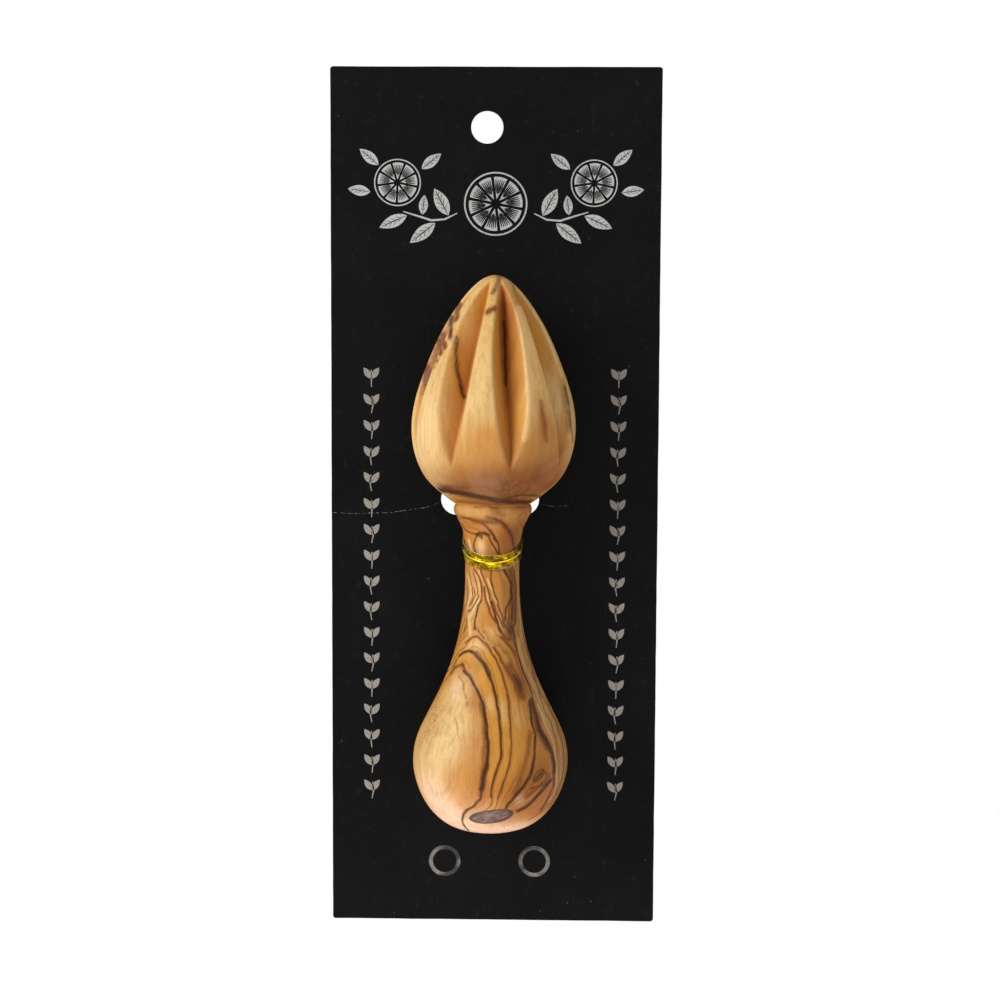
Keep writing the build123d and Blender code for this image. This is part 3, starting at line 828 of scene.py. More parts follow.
def flute_valley(heights):
    """Radius of the flutes' valley at each height."""
    low, top = np.array(FLUTE_LOW), np.array(FLUTE_TOP)
    share = (heights - low[1]) / (top[1] - low[1])
    bow = FLUTE_BOW * (1 - (2 * share - 1) ** 2)
    return low[0] + (top[0] - low[0]) * share - bow


def soft_min(a, b, width):
    """The smaller of a and b, rounded where they cross."""
    near = np.clip(1 - np.abs(a - b) / width, 0, 1)
    return np.minimum(a, b) - near ** 2 * width / 4


def wall_radius(angles, centre, facing, valley, drift):
    """Radius at each angle of a wall that faces one way, in a flute whose valley lies at centre."""
    reach = valley * math.cos(facing - centre) + drift * math.sin(facing)
    share = np.cos(angles - facing)
    return np.where(share > FLATTEST_WALL, reach / np.maximum(share, FLATTEST_WALL), FAR_OUT)


def fluted_radius(angles, heights, radii):
    """Radius of the head's surface on a grid of angles, where the flutes cut into the turned form."""
    valley = flute_valley(heights)
    drift = FLUTES_DRIFT * eased((heights / HEAD_LENGTH - DRIFT_FROM) / (1 - DRIFT_FROM))
    to_wall = math.pi / 2 - FLUTE_HALF_ANGLE
    result = radii.copy()
    for index, wander in enumerate(FLUTE_WANDER):
        centre = FLUTE_FIRST + (index + wander) * 2 * FLUTE_HALF_PITCH
        left = wall_radius(angles, centre, centre - to_wall, valley, drift)
        right = wall_radius(angles, centre, centre + to_wall, valley, drift)
        groove = -soft_min(-left, -right, VALLEY_SOFTNESS)
        away = (angles - centre + math.pi) % (2 * math.pi) - math.pi
        groove = np.where(np.abs(away) < FLUTE_REACH, groove, FAR_OUT)
        result = soft_min(result, groove, RIDGE_SOFTNESS)
    return result


def ridge_angles(heights, radii):
    """Half the angle that a flute takes at each height, found from its section."""
    tries = np.linspace(0, FLUTE_HALF_PITCH, RIDGE_TRIES)
    spread = np.cos(tries) - np.sin(tries) / math.tan(FLUTE_HALF_ANGLE)
    walls = flute_valley(heights)[:, None] / np.maximum(spread, LEAST_SPREAD)[None, :]
    return tries[np.argmax(walls > radii[:, None], axis=1)]


def column_angles(heights, radii):
    """Angles of the grid's columns at each height, drawn to the flutes' ridges on the head."""
    half = FLUTE_HALF_PITCH
    even = half * WALL_COLUMNS / HALF_COLUMNS
    ridge = np.maximum(ridge_angles(heights, radii), LEAST_RIDGE)
    top_fade = np.clip((heights - FLUTE_TOP[1] + TOP_FADE) / TOP_FADE, 0, 1)
    low_fade = np.clip((LOW_FADE_FROM - heights) / LOW_FADE, 0, 1)
    fade = np.maximum(top_fade, low_fade)
    ridge = (ridge * (1 - fade) + even * fade)[:, None]
    wall = np.arange(WALL_COLUMNS) / WALL_COLUMNS
    land = np.arange(HALF_COLUMNS - WALL_COLUMNS) / (HALF_COLUMNS - WALL_COLUMNS)
    right = np.hstack([ridge * wall, ridge + (half - ridge) * land])
    left = 2 * half - np.hstack([right, np.full((len(heights), 1), half)])[:, :0:-1]
    period = np.hstack([right, left])
    return np.hstack([FLUTE_FIRST + index * 2 * half + period for index in range(FLUTE_COUNT)])


def grid_mesh(name, rows, poles):
    """A smooth mesh over rows of points, closed round each row, with a pole at each end."""
    count, width = rows.shape[:2]
    index = np.arange(count * width).reshape(count, width)
    beside = np.roll(index, -1, axis=1)
    faces = np.stack([index[:-1], index[1:], beside[1:], beside[:-1]], -1).reshape(-1, 4).tolist()
    top, bottom = count * width, count * width + 1
    faces += [(top, a, b) for a, b in zip(index[0].tolist(), beside[0].tolist())]
    faces += [(bottom, b, a) for a, b in zip(index[-1].tolist(), beside[-1].tolist())]
    mesh = bpy.data.meshes.new(name)
    mesh.from_pydata(rows.reshape(-1, 3).tolist() + list(poles), [], faces)
    mesh.polygons.foreach_set("use_smooth", [True] * len(mesh.polygons))
    return mesh


def add_object(name, mesh, body):
    """An object for a mesh that rides on a body."""
    thing = place_in_scene(name, mesh)
    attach(thing, body)
    return thing


def set_attribute(mesh, name, values):
    """One number for each vertex."""
    layer = mesh.attributes.new(name, "FLOAT", "POINT")
    layer.data.foreach_set("value", np.asarray(values, np.float32))


def lean(height):
    """How far to the right the wood's axis is at a height."""
    return LEAN * (height - LEAN_FROM_Z)


def make_wood_mesh():
    """The turned and fluted wood as one closed mesh."""
    outline = evenly(reamer_outline(), ROW_STEP)[1:-1]
    radii, heights = outline[:, 0], outline[:, 1]
    angles = column_angles(heights, radii)
    radii = np.repeat(radii[:, None], angles.shape[1], 1)
    heights = np.repeat(heights[:, None], angles.shape[1], 1)
    carved = np.where(heights > CARVED_FROM, fluted_radius(angles, heights, radii), radii)
    z = SCORE_Z + heights
    rows = np.stack([AXIS_X + lean(z) + carved * np.sin(angles), AXIS_Y - carved * np.cos(angles), z], -1)
    mesh = grid_mesh("reamer_wood", rows, [(AXIS_X + lean(end), AXIS_Y, end) for end in (TIP_Z, BUTT_Z)])
    set_attribute(mesh, "groove_depth", np.append((radii - carved).ravel(), [0, 0]) / MM)
    return mesh


def places_on(tree, pixels):
    """Where the camera's rays through these pixels meet the wood, or pass closest to it."""
    right, up, back = camera_axes()
    eye = LOOK_AT + back * CAMERA_DISTANCE
    middle = IMAGE_PIXELS / 2
    found = []
    for u, v in pixels:
        ray = (right * (u - middle) + up * (middle - v) - back * FOCAL_PIXELS).normalized()
        hit = tree.ray_cast(eye, ray)[0]
        if hit is None:
            hit = tree.find_nearest(eye + ray * (AXIS_Y - eye.y) / ray.y)[0]
        found.append(hit)
    return np.array(found)


def places_behind(marks):
    """Places on the turned outline from (degrees from the front, mm above the score)."""
    outline = reamer_outline()
    found = []
    for degrees, height in marks:
        angle, z = math.radians(degrees), SCORE_Z + height * MM
        radius = np.interp(-height * MM, -outline[:, 1], outline[:, 0])
        found.append((AXIS_X + lean(z) + radius * math.sin(angle), AXIS_Y - radius * math.cos(angle), z))
    return np.array(found)


def smooth_distance(points, centres):
    """Distance in mm from each point to each centre, rounded off near a centre."""
    apart = points[:, None] - centres[None]
    return np.sqrt((apart ** 2).sum(2) + FIELD_SMOOTHNESS ** 2)


def ring_numbers(points, tree):
    """A smooth field through the picked growth lines, at each of the points."""
    known = [(value, places_on(tree, pixels)) for value, pixels in RING_LINES]
    known += [(value, places_behind(marks)) for value, marks in RINGS_BEHIND]
    centres = np.vstack([places for _, places in known]) / MM
    values = np.concatenate([np.full(len(places), value) for value, places in known])
    count = len(centres)
    system = np.zeros((count + 1, count + 1))
    system[:count, :count] = np.eye(count) * FIELD_SLACK - smooth_distance(centres, centres)
    system[count, :count] = system[:count, count] = 1
    weights = np.linalg.solve(system, np.append(values, 0))
    result = []
    for part in np.array_split(points / MM, FIELD_PARTS):
        result.append(weights[count] - smooth_distance(part, centres) @ weights[:count])
    return np.concatenate(result)


def wavered(points):
    """The points moved a little sideways, so that marks waver as grain does."""
    x, y, z = (points / MM).T
    sideways = np.zeros(len(points))
    for (size, often, push, turns), beside in zip(WAVERS, (x, y)):
        sideways += size * np.sin(often * z + push * np.sin(turns * beside))
    return points + np.outer(sideways * MM, (1, 0, 0))


def in_short_steps(pixels):
    """The same line of pixels with more places on it, so that it keeps to a round surface."""
    line = []
    for (x0, y0), (x1, y1) in zip(pixels[:-1], pixels[1:]):
        count = math.ceil(math.hypot(x1 - x0, y1 - y0) / STROKE_STEP)
        line += [(x0 + (x1 - x0) * i / count, y0 + (y1 - y0) * i / count) for i in range(count)]
    return line + [pixels[-1]]


def distance_to_line(points, line):
    """Distance from each point to a line through several places."""
    nearest = np.full(len(points), np.inf)
    for a, b in zip(line[:-1], line[1:]):
        along = np.clip((points - a) @ (b - a) / ((b - a) @ (b - a)), 0, 1)
        away = np.linalg.norm(points - a - along[:, None] * (b - a), axis=1)
        nearest = np.minimum(nearest, away)
    return nearest


def stroke_strength(points, tree, strokes):
    """Strength of the single marks of one kind at each of the points."""
    total = np.zeros(len(points))
    for width, strength, pixels in strokes:
        line = places_on(tree, in_short_steps(pixels))
        reach = width * MM * STROKE_REACH
        near = np.all((points > line.min(0) - reach) & (points < line.max(0) + reach), axis=1)
        away = distance_to_line(points[near], line) / (width * MM * STROKE_SPREAD)
        total[near] = np.maximum(total[near], strength * np.exp(-away ** 2))
    return total


def patch_strength(points, tree, patches):
    """Strength of the soft patches of one kind at each of the points."""
    total = np.zeros(len(points))
    for u, v, across, along, strength in patches:
        place = places_on(tree, [(u, v)])[0]
        away = (points - place) / (np.array([across, across, along]) * MM)
        total += strength * np.exp(-(away ** 2).sum(1))
    return np.clip(total, 0, 1)


def dark_ring_lines(t, ring, spread):
    """The main growth lines at a multiple of their width, as the largest of their strengths."""
    total = None
    for number, width, strength in DARK_RINGS:
        away = t.math("ABSOLUTE", t.math("SUBTRACT", ring, number))
        line = t.step(away, width * spread * 0.1, width * spread, strength, 0.0)
        total = line if total is None else t.math("MAXIMUM", total, line)
    return total


def wood_material():
    """Oiled olive wood: growth lines, fine lines, fibres, pores and soft patches, some of them painted light
    and shade.
    """
    t, place = new_material("olive_wood")
    wobble = t.noise(place, (0.5, 0.5, 0.16))
    shiver = t.noise(place, (2.2, 2.2, 0.9), 2.0)
    streak = t.noise(place, (0.9, 0.9, 0.04), 5.0, 0.6)
    cloud = t.noise(place, (0.18, 0.18, 0.06))
    break_up = t.noise(place, (1.1, 1.1, 0.35), 4.0)
    fibre = t.noise(place, (5.0, 5.0, 0.35), 3.0, 0.6)
    pores = t.noise(place, (7.0, 7.0, 0.9), 2.0)
    ring = t.math("ADD", t.attribute("ring"), t.centred(wobble, 0.20))
    ring = t.math("ADD", ring, t.centred(shiver, 0.08))
    calm = t.math("SUBTRACT", 1.0, t.attribute("calm"))
    base = patch_colour(t, ring_colour(t, ring), cloud)
    base = t.mix(t.step(streak, 0.40, 0.75, 0.0, 0.40), base, "B0702C")
    base = fine_lines(t, ring, base, calm)
    halo = t.times(dark_ring_lines(t, ring, 2.6), calm)
    base = t.mix(t.times(halo, 0.45), base, "94561F")
    lines = t.times(dark_ring_lines(t, ring, 1.0), t.step(break_up, 0.30, 0.5, 0.55, 1.0))
    base = t.mix(t.times(lines, calm), base, "3A1E0E")
    base = stroke_colour(t, base, break_up, shiver)
    base = mark_colour(t, base, place, shiver)
    base = t.mix(t.step(fibre, 0.35, 0.65, 0.12, 0.0), base, "6E4018")
    base = t.mix(t.step(pores, 0.66, 0.74, 0.0, 0.35), base, "5C3517")
    height = t.math("ADD", t.times(fibre, 0.5), t.times(t.math("SUBTRACT", 1.0, pores), 0.5))
    rough = t.step(streak, 0.3, 0.7, 0.42, 0.52)
    return t.finish(base, rough, t.bump(height, 0.03, 0.5), Specular_IOR_Level=0.16)


def ring_colour(t, ring):
    """The ground colour at each growth line, with painted shade where a flute cuts deep and a painted
    highlight along each flute's edge.
    """
    base = t.ramp(t.step_linear(ring, *RING_RANGE), RING_COLOURS)
    # Painted shade: the wood darkens the deeper a flute cuts.
    depth = t.step_linear(t.attribute("groove_depth"), 0.0, FLUTE_SHADE_DEPTH)
    flute_shaded = t.mix(1.0, base, t.ramp(depth, FLUTE_SHADE_COLOURS), "MULTIPLY")
    # Painted highlight: a pale line along each flute's edge.
    edge = t.times(t.step(depth, 0.0, 0.03, 0.0, 0.25), t.step(depth, 0.05, 0.12, 1.0, 0.0))
    return t.mix(edge, flute_shaded, "F6E0AC")


def patch_colour(t, base, cloud):
    """The soft patches of sapwood and darker heartwood, with painted highlights on the left of the head and
    bulb, painted shade under the head and painted light from below on the bulb's underside.
    """
    cloudy = t.step(cloud, 0.3, 0.7, 0.75, 1.0)
    # Pale: paler wood, and painted highlights.
    base = t.mix(t.times(t.attribute("pale"), 0.8), base, "EFCF92")
    # Tan, rust and brown: darker wood, and painted shade under the head and in the scored groove.
    for kind, colour in (("tan", "C58844"), ("rust", "A8602A"), ("brown", "6E3A18")):
        base = t.mix(t.times(t.attribute(kind), cloudy), base, colour)
    # Painted light from below: the pink patches on the bulb's underside.
    return t.mix(t.times(t.attribute("pink_light"), 0.85), base, "F5CCAE")


def fine_lines(t, ring, base, calm):
    """Fine dark and pale threads along the growth lines."""
    inputs = {"W": t.times(ring, 7.0), "Scale": 1.0, "Detail": 3.0, "Roughness": 0.65}
    thread = t.add("TexNoise", inputs, noise_dimensions="1D").outputs[0]
    fine = t.attribute("fine")
    everywhere = t.times(t.step(ring, -1.2, -0.4, 0.0, 0.18), calm)
    share = t.math("MULTIPLY_ADD", fine, 0.7, everywhere)
    base = t.mix(t.times(t.step(thread, 0.50, 0.64), share), base, "6E4019")
    return t.mix(t.times(t.step(thread, 0.42, 0.34), t.times(fine, 0.6)), base, "E6C088")


def stroke_colour(t, base, break_up, fray):
    """The single marks, the dark ones over the others."""
    ragged = t.step(break_up, 0.28, 0.5, 0.8, 1.0)
    rough_edge = t.centred(fray, 0.35)
    for kind, colour in STROKE_COLOURS:
        strength = t.math("ADD", t.attribute(kind + "_stroke"), rough_edge)
        base = t.mix(t.times(t.step(strength, 0.12, 0.92), ragged), base, colour)
    return base


def mark_colour(t, base, place, shiver):
    """Small dark spots, rippled grain and the knot."""
    spots = t.times(t.attribute("dark"), t.step(shiver, 0.25, 0.6, 0.6, 1.0))
    base = t.mix(spots, base, "402519")
    waves = t.noise(t.turned(place, -0.9), (3.2, 3.2, 0.6), 2.0, 0.5, 0.3)
    ripple = t.times(t.attribute("ripple"), t.step(waves, 0.44, 0.60, 0.0, 0.8))
    base = t.mix(ripple, base, "A06A30")
    speckle = t.noise(t.turned(place, 0.45), (0.5, 0.5, 3.2), 4.0, 0.6, 0.8)
    inside = t.ramp(speckle, [(0.36, "3C2E30"), (0.50, "664840"), (0.62, "8C6654")])
    knot = t.attribute("knot")
    edge = t.mix(t.step(knot, 0.42, 0.70), "2A2022", inside)
    return t.mix(t.step(knot, 0.22, 0.42), base, edge)


def make_reamer():
    """The visible reamer, in place of the plain one."""
    mesh = make_wood_mesh()
    tree = BVHTree.FromPolygons([v.co for v in mesh.vertices], [p.vertices for p in mesh.polygons])
    points = np.empty(len(mesh.vertices) * 3)
    mesh.vertices.foreach_get("co", points)
    points = points.reshape(-1, 3)
    set_attribute(mesh, "ring", ring_numbers(points, tree))
    for kind, strokes in STROKES.items():
        set_attribute(mesh, kind + "_stroke", stroke_strength(wavered(points), tree, strokes))
    for kind, patches in PATCHES.items():
        set_attribute(mesh, kind, patch_strength(points, tree, patches))
    mesh.materials.append(wood_material())
    thing = add_object("reamer_wood", mesh, "reamer")
    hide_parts("reamer")


def circle(centre, radius, count):
    """Points round a circle in the card's plane."""
    turns = [2 * math.pi * i / count for i in range(count)]
    return [(centre[0] + radius * math.cos(a), centre[1] + radius * math.sin(a)) for a in turns]


def rounded_corners(middle, half):
    """Points round the card's four corners."""
    found = []
    for sx, sz, start in [(1, 1, 0), (-1, 1, 90), (-1, -1, 180), (1, -1, 270)]:
        cx = middle[0] + sx * (half[0] - CARD_CORNER)
        cz = middle[1] + sz * (half[1] - CARD_CORNER)
        for step in range(CORNER_STEPS + 1):
            angle = math.radians(start + step * 90 / CORNER_STEPS)
            found.append((cx + CARD_CORNER * math.cos(angle), cz + CARD_CORNER * math.sin(angle)))
    return found


def card_outline():
    """The card's rounded rectangle, with edges that are a hair uneven."""
    rng = random.Random(EDGE_SEED)
    middle = (CARD_MIDDLE_X, (CARD_LOW.z + CARD_HIGH.z) / 2)
    half = ((CARD_HIGH.x - CARD_LOW.x) / 2, (CARD_HIGH.z - CARD_LOW.z) / 2)
    rounded = rounded_corners(middle, half)
    outline = []
    for a, b in zip(rounded, rounded[1:] + rounded[:1]):
        pieces = max(1, round(math.dist(a, b) / EDGE_STEP))
        flat = abs(a[0] - b[0]) > abs(a[1] - b[1])
        for i in range(pieces):
            share = i / pieces
            inward = rng.uniform(0, EDGE_UNEVEN) if i > 0 else 0
            x, z = a[0] + (b[0] - a[0]) * share, a[1] + (b[1] - a[1]) * share
            if flat:
                outline.append((x, z - math.copysign(inward, z - middle[1])))
            else:
                outline.append((x - math.copysign(inward, x - middle[0]), z))
    return outline


def turned(points, angle, centre):
    """Points turned about the origin and moved to a centre."""
    c, s = math.cos(angle), math.sin(angle)
    return [(centre[0] + x * c - z * s, centre[1] + x * s + z * c) for x, z in points]


def ribbon(points, width):
    """A thin band of print along a few points, tapered at both ends."""
    left, right = [], []
    last = len(points) - 1
    for i, (x, z) in enumerate(points):
        a, b = points[max(0, i - 1)], points[min(last, i + 1)]
        run = math.dist(a, b)
        nx, nz = -(b[1] - a[1]) / run, (b[0] - a[0]) / run
        run_share = (i + BAND_END) / (last + 2 * BAND_END)
        half = width / 2 * (BAND_END + (1 - BAND_END) * math.sin(math.pi * run_share))
        left.append((x + nx * half, z + nz * half))
        right.append((x - nx * half, z - nz * half))
    return left + right[::-1]


def leaf_blade(length, width):
    """The pointed outline of a leaf from its stalk at the origin."""
    shape = []
    for share in np.arange(LEAF_POINTS) / (LEAF_POINTS - 1):
        swell = math.sin(math.pi * share) ** LEAF_ROUNDNESS * (LEAF_FOOT - LEAF_TAPER * share)
        shape.append((length * share, width / 2 * swell))
    return shape + [(x, -z) for x, z in shape[-2:0:-1]]


def printed_leaf(centre, length, width, angle):
    """A pointed leaf with a dark midrib and side veins."""
    midrib = [(length * (MIDRIB_FROM + MIDRIB_STEP * i), 0) for i in range(MIDRIB_POINTS)]
    bands = [ribbon(midrib, width * MIDRIB_WIDTH)]
    for i in range(1, LEAF_VEINS + 1):
        start = length * (LEAF_VEIN_FROM + LEAF_VEIN_STEP * i)
        reach = width * LEAF_VEIN_REACH * math.sin(math.pi * (LEAF_VEIN_PHASE + LEAF_VEIN_STEP * i))
        vein = [(start, width * LEAF_VEIN_FOOT)]
        vein += [(start + reach * x, reach * z) for x, z in (LEAF_VEIN_BEND, LEAF_VEIN_TIP)]
        for side in (-1, 1):
            bands.append(ribbon([(x, side * z) for x, z in vein], width * LEAF_VEIN_WIDTH))
    return [turned(band, angle, centre) for band in [leaf_blade(length, width)] + bands]


def printed_slice(centre, radius, wedges):
    """A cut citrus fruit: a ring of peel and wedges with fine radial lines."""
    shapes = [circle(centre, r, SLICE_POINTS) for r in (radius, radius * PEEL_INSIDE)]
    outside = radius * WEDGE_OUTSIDE
    half = math.pi / wedges
    for index in range(wedges):
        middle = 2 * math.pi * (index + WEDGE_TURN) / wedges
        wedge = [(radius * WEDGE_GAP / math.sin(half), 0)]
        for share in WEDGE_SHARES:
            c, s = math.cos(half * share), math.sin(half * share)
            wedge.append((outside * c, outside * s * WEDGE_NARROWING))
        shapes.append(turned(wedge, middle, centre))
        for share in VEIN_SHARES:
            inner, outer = radius * (VEIN_FROM + VEIN_SPLAY * abs(share)), radius * VEIN_TO
            c, s = math.cos(half * share), math.sin(half * share)
            path = [(r * c, r * s * VEIN_NARROWING) for r in (inner, (inner + outer) / 2, outer)]
            shapes.append(turned(ribbon(path, radius * VEIN_WIDTH), middle, centre))
    return shapes


def ornament_place(side, x, z):
    """A place in the ornament from mm beside and above its middle, to the left or right."""
    return CARD_MIDDLE_X + side * x * MM, PRINT_TOP + z * MM


def top_ornament():
    """Fruit slices and leaves at the top of the card."""
    x, z, radius, wedges = MIDDLE_SLICE
    shapes = printed_slice(ornament_place(1, x, z), radius * MM, wedges)
    for side in (-1, 1):
        x, z, radius, wedges = SIDE_SLICE
        shapes += printed_slice(ornament_place(side, x, z), radius * MM, wedges)
        shapes.append(ribbon([ornament_place(side, x, z) for x, z in STEM], STEM_WIDTH))
        for x, z, length, width, angle in LEAVES:
            turn = math.radians(angle if side > 0 else 180 - angle)
            shapes += printed_leaf(ornament_place(side, x, z), length * MM, width * MM, turn)
    return shapes


def side_rows():
    """A row of leaf pairs down each side of the card."""
    shapes = []
    for side in (-1, 1):
        x = CARD_MIDDLE_X + side * SPRIG_FROM_MIDDLE
        for index in range(SPRIG_COUNT):
            z = SPRIG_TOP - index * SPRIG_STEP
            sway = SPRIG_SWAY * math.sin(index * SPRIG_SWAY_TURN)
            stem = [(x + sway * SPRIG_FOOT_SWAY, z), (x + sway, z - SPRIG_BEND), (x, z - SPRIG_LENGTH)]
            shapes.append(ribbon(stem, SPRIG_STEM_WIDTH))
            for angle in SPRIG_ANGLES:
                foot = (x, z - SPRIG_LEAF_BELOW)
                shapes.append(turned(leaf_blade(*SPRIG_LEAF), math.radians(angle), foot))
    return shapes


def counter_clockwise(loop):
    """The same loop, so turned that its inside is on the left."""
    area = sum(a[0] * b[1] - b[0] * a[1] for a, b in zip(loop, loop[1:] + loop[:1]))
    return loop if area > 0 else loop[::-1]


def ring_mark_loops():
    """Four circles for each ring mark: the feet and the tops of its two walls."""
    inner = RING_MARK_RADIUS - RING_MARK_LINE
    radii = (RING_MARK_RADIUS, RING_MARK_RADIUS - RING_MARK_WALL, inner + RING_MARK_WALL, inner)
    return [circle(place, radius, RING_MARK_POINTS) for place in RING_MARKS for radius in radii]


def card_grid():
    """Points spread over the card, so that it can follow its waves."""
    points = []
    x = CARD_LOW.x + CARD_GRID / 2
    while x < CARD_HIGH.x - CARD_GRID / 4:
        z = CARD_LOW.z + CARD_GRID / 2
        while z < CARD_HIGH.z - CARD_GRID / 4:
            points.append((x, z))
            z += CARD_GRID
        x += CARD_GRID
    return points


def material_of(marks, creases, prints):
    """The number of a triangle's material, from how many loops of each sort it lies in."""
    if prints % 2:
        return INK
    if marks in (1, 2, 3):
        return PRESSED
    return CRACKED if creases else FILM


def card_sheet():
    """The card's front as points, triangles and the number of each triangle's material."""
    creases = [ribbon([(x * MM, z * MM) for x, z in path], CREASE_WIDTH) for path in CREASES]
    groups = [
        [card_outline()],
        [circle(place, HOLE_RADIUS, HOLE_POINTS) for place in [(0, 0)] + NECK_HOLES],
        ring_mark_loops(),
        creases,
        top_ornament() + side_rows(),
    ]
    points, faces, owners = [], [], []
    for owner, loops in enumerate(groups):
        for loop in map(counter_clockwise, loops):
            faces.append(list(range(len(points), len(points) + len(loop))))
            owners.append(owner)
            points += loop
    scaled = [Vector((x / MM, z / MM)) for x, z in points + card_grid()]
    made = delaunay_2d_cdt(scaled, [], faces, 0, SHEET_SLACK)
    triangles, kinds = [], []
    for corners, inside in zip(made[2], made[5]):
        counts = [0] * len(groups)
        for face in inside:
            counts[owners[face]] += 1
        card, holes, *others = counts
        if card and not holes:
            triangles.append(list(corners))
            kinds.append(material_of(*others))
    return np.array([tuple(v) for v in made[0]]) * MM, triangles, kinds


def card_front(points):
    """Depth of the card's front face: nearly flat, with the pressed ring marks."""
    y = CARD_WAVE * (np.sin(points / MM * CARD_WAVE_TURNS + CARD_WAVE_START).prod(1) + 1)
    for place in RING_MARKS:
        away = np.hypot(points[:, 0] - place[0], points[:, 1] - place[1])
        inside = RING_MARK_RADIUS - away
        walls = np.minimum(inside, away - (RING_MARK_RADIUS - RING_MARK_LINE)) / RING_MARK_WALL
        y = y + np.clip(walls, 0, 1) * RING_MARK_DEPTH
    return y


def drop_loose(mesh):
    """Remove the points that no face uses."""
    work = bmesh.new()
    work.from_mesh(mesh)
    bmesh.ops.delete(work, geom=[v for v in work.verts if not v.link_faces], context="VERTS")
    work.to_mesh(mesh)
    work.free()


def make_card():
    """The card as a sheet with holes, pressed rings and a printed ornament."""
    flat, triangles, kinds = card_sheet()
    count = len(flat)
    front = np.stack([flat[:, 0], card_front(flat), flat[:, 1]], 1)
    back = np.stack([flat[:, 0], np.full(count, CARD_THICKNESS), flat[:, 1]], 1)
    edges = {edge: True for a, b, c in triangles for edge in ((a, b), (b, c), (c, a))}
    rim = [(a, b) for a, b in edges if (b, a) not in edges]
    faces = [tuple(corners) for corners in triangles]
    faces += [tuple(i + count for i in reversed(corners)) for corners in triangles]
    faces += [(b, a, a + count, b + count) for a, b in rim]
    mesh = bpy.data.meshes.new("card_sheet")
    mesh.from_pydata(np.vstack([front, back]).tolist(), [], faces)
    for material in (card_material(), print_material(), mark_material(), core_material(), crack_material()):
        mesh.materials.append(material)
    mesh.polygons.foreach_set("material_index", kinds + [FILM] * len(triangles) + [CORE] * len(rim))
    drop_loose(mesh)
    thing = add_object("card_sheet", mesh, "card")
    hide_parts("backing_card")


def card_grime(t, place):
    """Dust specks and fine scratches, from 0 to 1."""
    cell = t.add("TexVoronoi", {"Vector": t.scaled(place, (0.32, 1, 0.32)), "Scale": 1.0, "Randomness": 1.0})
    size = t.noise(place, (0.3, 0.3, 0.3), 2.0)
    specks = t.step(cell.outputs["Distance"], 0.02, 0.055, 1.0, 0.0)
    specks = t.times(specks, t.step(size, 0.50, 0.62))
    scratch = t.noise(place, (0.9, 1, 0.14), 3.0, 0.7, 1.2)
    scratches = t.step(t.math("ABSOLUTE", t.centred(scratch)), 0.0, 0.006, 1.0, 0.0)
    scratches = t.times(scratches, t.step(size, 0.5, 0.75, 0.0, 0.3))
    return t.math("MAXIMUM", specks, scratches)


def card_material():
    """Black laminated card with a faint weave, dust and scratches."""
    t, place = new_material("black_card")
    cloud = t.noise(place, (0.05, 0.05, 0.05), 4.0)
    grain = t.noise(place, (2.2, 2.2, 2.2))
    colour = t.ramp(cloud, [(0.3, "050505"), (0.55, "080808"), (0.75, "0C0C0D")])
    colour = t.mix(t.step(grain, 0.4, 0.7, 0.0, 0.25), colour, "141414")
    colour = t.mix(t.times(card_grime(t, place), 0.55), colour, "9A968C")
    rough = t.step(grain, 0.3, 0.7, 0.38, 0.5)
    return t.finish(colour, rough, t.bump(grain, 0.02, 0.35), Specular_IOR_Level=0.06)


def print_material():
    """Pale grey ink with the card's grain showing through."""
    t, place = new_material("pale_ink")
    wear = t.noise(place, (1.6, 1.6, 1.6), 4.0, 0.7)
    base = t.mix(t.step(t.along(place, "Z"), -60.0, -45.0), "958F86", "B4B4B2")
    colour = t.mix(t.step(wear, 0.30, 0.52, 0.55, 0.0), base, "3C3C3C")
    return t.finish(colour, t.step(wear, 0.3, 0.7, 0.42, 0.55), Specular_IOR_Level=0.15)


def mark_material():
    """The pressed rings: pale where the black rubs off, and painted highlights, both stronger towards the
    bottom.
    """
    t, place = new_material("pressed_ring")
    wear_and_sheen = t.noise(place, (0.16, 0.16, 0.22), 2.0)
    rub = t.noise(place, (1.3, 1.3, 1.3), 3.0, 0.5)
    # Painted highlight: the rings are paler towards their bottom.
    low = t.step(t.along(place, "Z"), -202.3, -200.0, 0.85, 0.55)
    shine = t.times(low, t.step(wear_and_sheen, 0.38, 0.60, 0.15, 1.0))
    shine = t.times(shine, t.step(rub, 0.3, 0.6, 0.75, 1.0))
    colour = t.mix(shine, "0E0E0E", "A0978F")
    return t.finish(colour, 0.45, t.bump(rub, 0.02, 0.3), Specular_IOR_Level=0.2)


def crack_material():
    """The broken film along a crease, where pale board shows in flecks."""
    t, place = new_material("cracked_film")
    flecks = t.noise(place, (1.1, 1.1, 1.1), 4.0, 0.7)
    colour = t.mix(t.step(flecks, 0.45, 0.62), "0A0A0A", "8E8C86")
    return t.finish(colour, 0.6, t.bump(flecks, 0.03, 0.5), Specular_IOR_Level=0.1)


def core_material():
    """The cut edge of the card: dark dyed board with thin paler layers."""
    t, place = new_material("card_core")
    layer = t.noise(place, (0.2, 14.0, 0.2), 2.0)
    colour = t.mix(t.step(layer, 0.35, 0.65), "121212", "34332F")
    return t.finish(colour, 0.75, t.bump(layer, 0.03, 0.4), Specular_IOR_Level=0.15)


def loop_centre():
    """Where the reamer's axis crosses the plane of the tie's loop."""
    z = NECK_HOLES[0][1] - TIE_BELOW_HOLES + AXIS_Y * math.tan(TIE_TILT)
    return np.array([AXIS_X, AXIS_Y, z])


def tie_directions():
    """Across the loop, back along a leg, and square to both."""
    c, s = math.cos(TIE_TILT), math.sin(TIE_TILT)
    return np.array([1.0, 0, 0]), np.array([0, c, s]), np.array([0, -s, c])


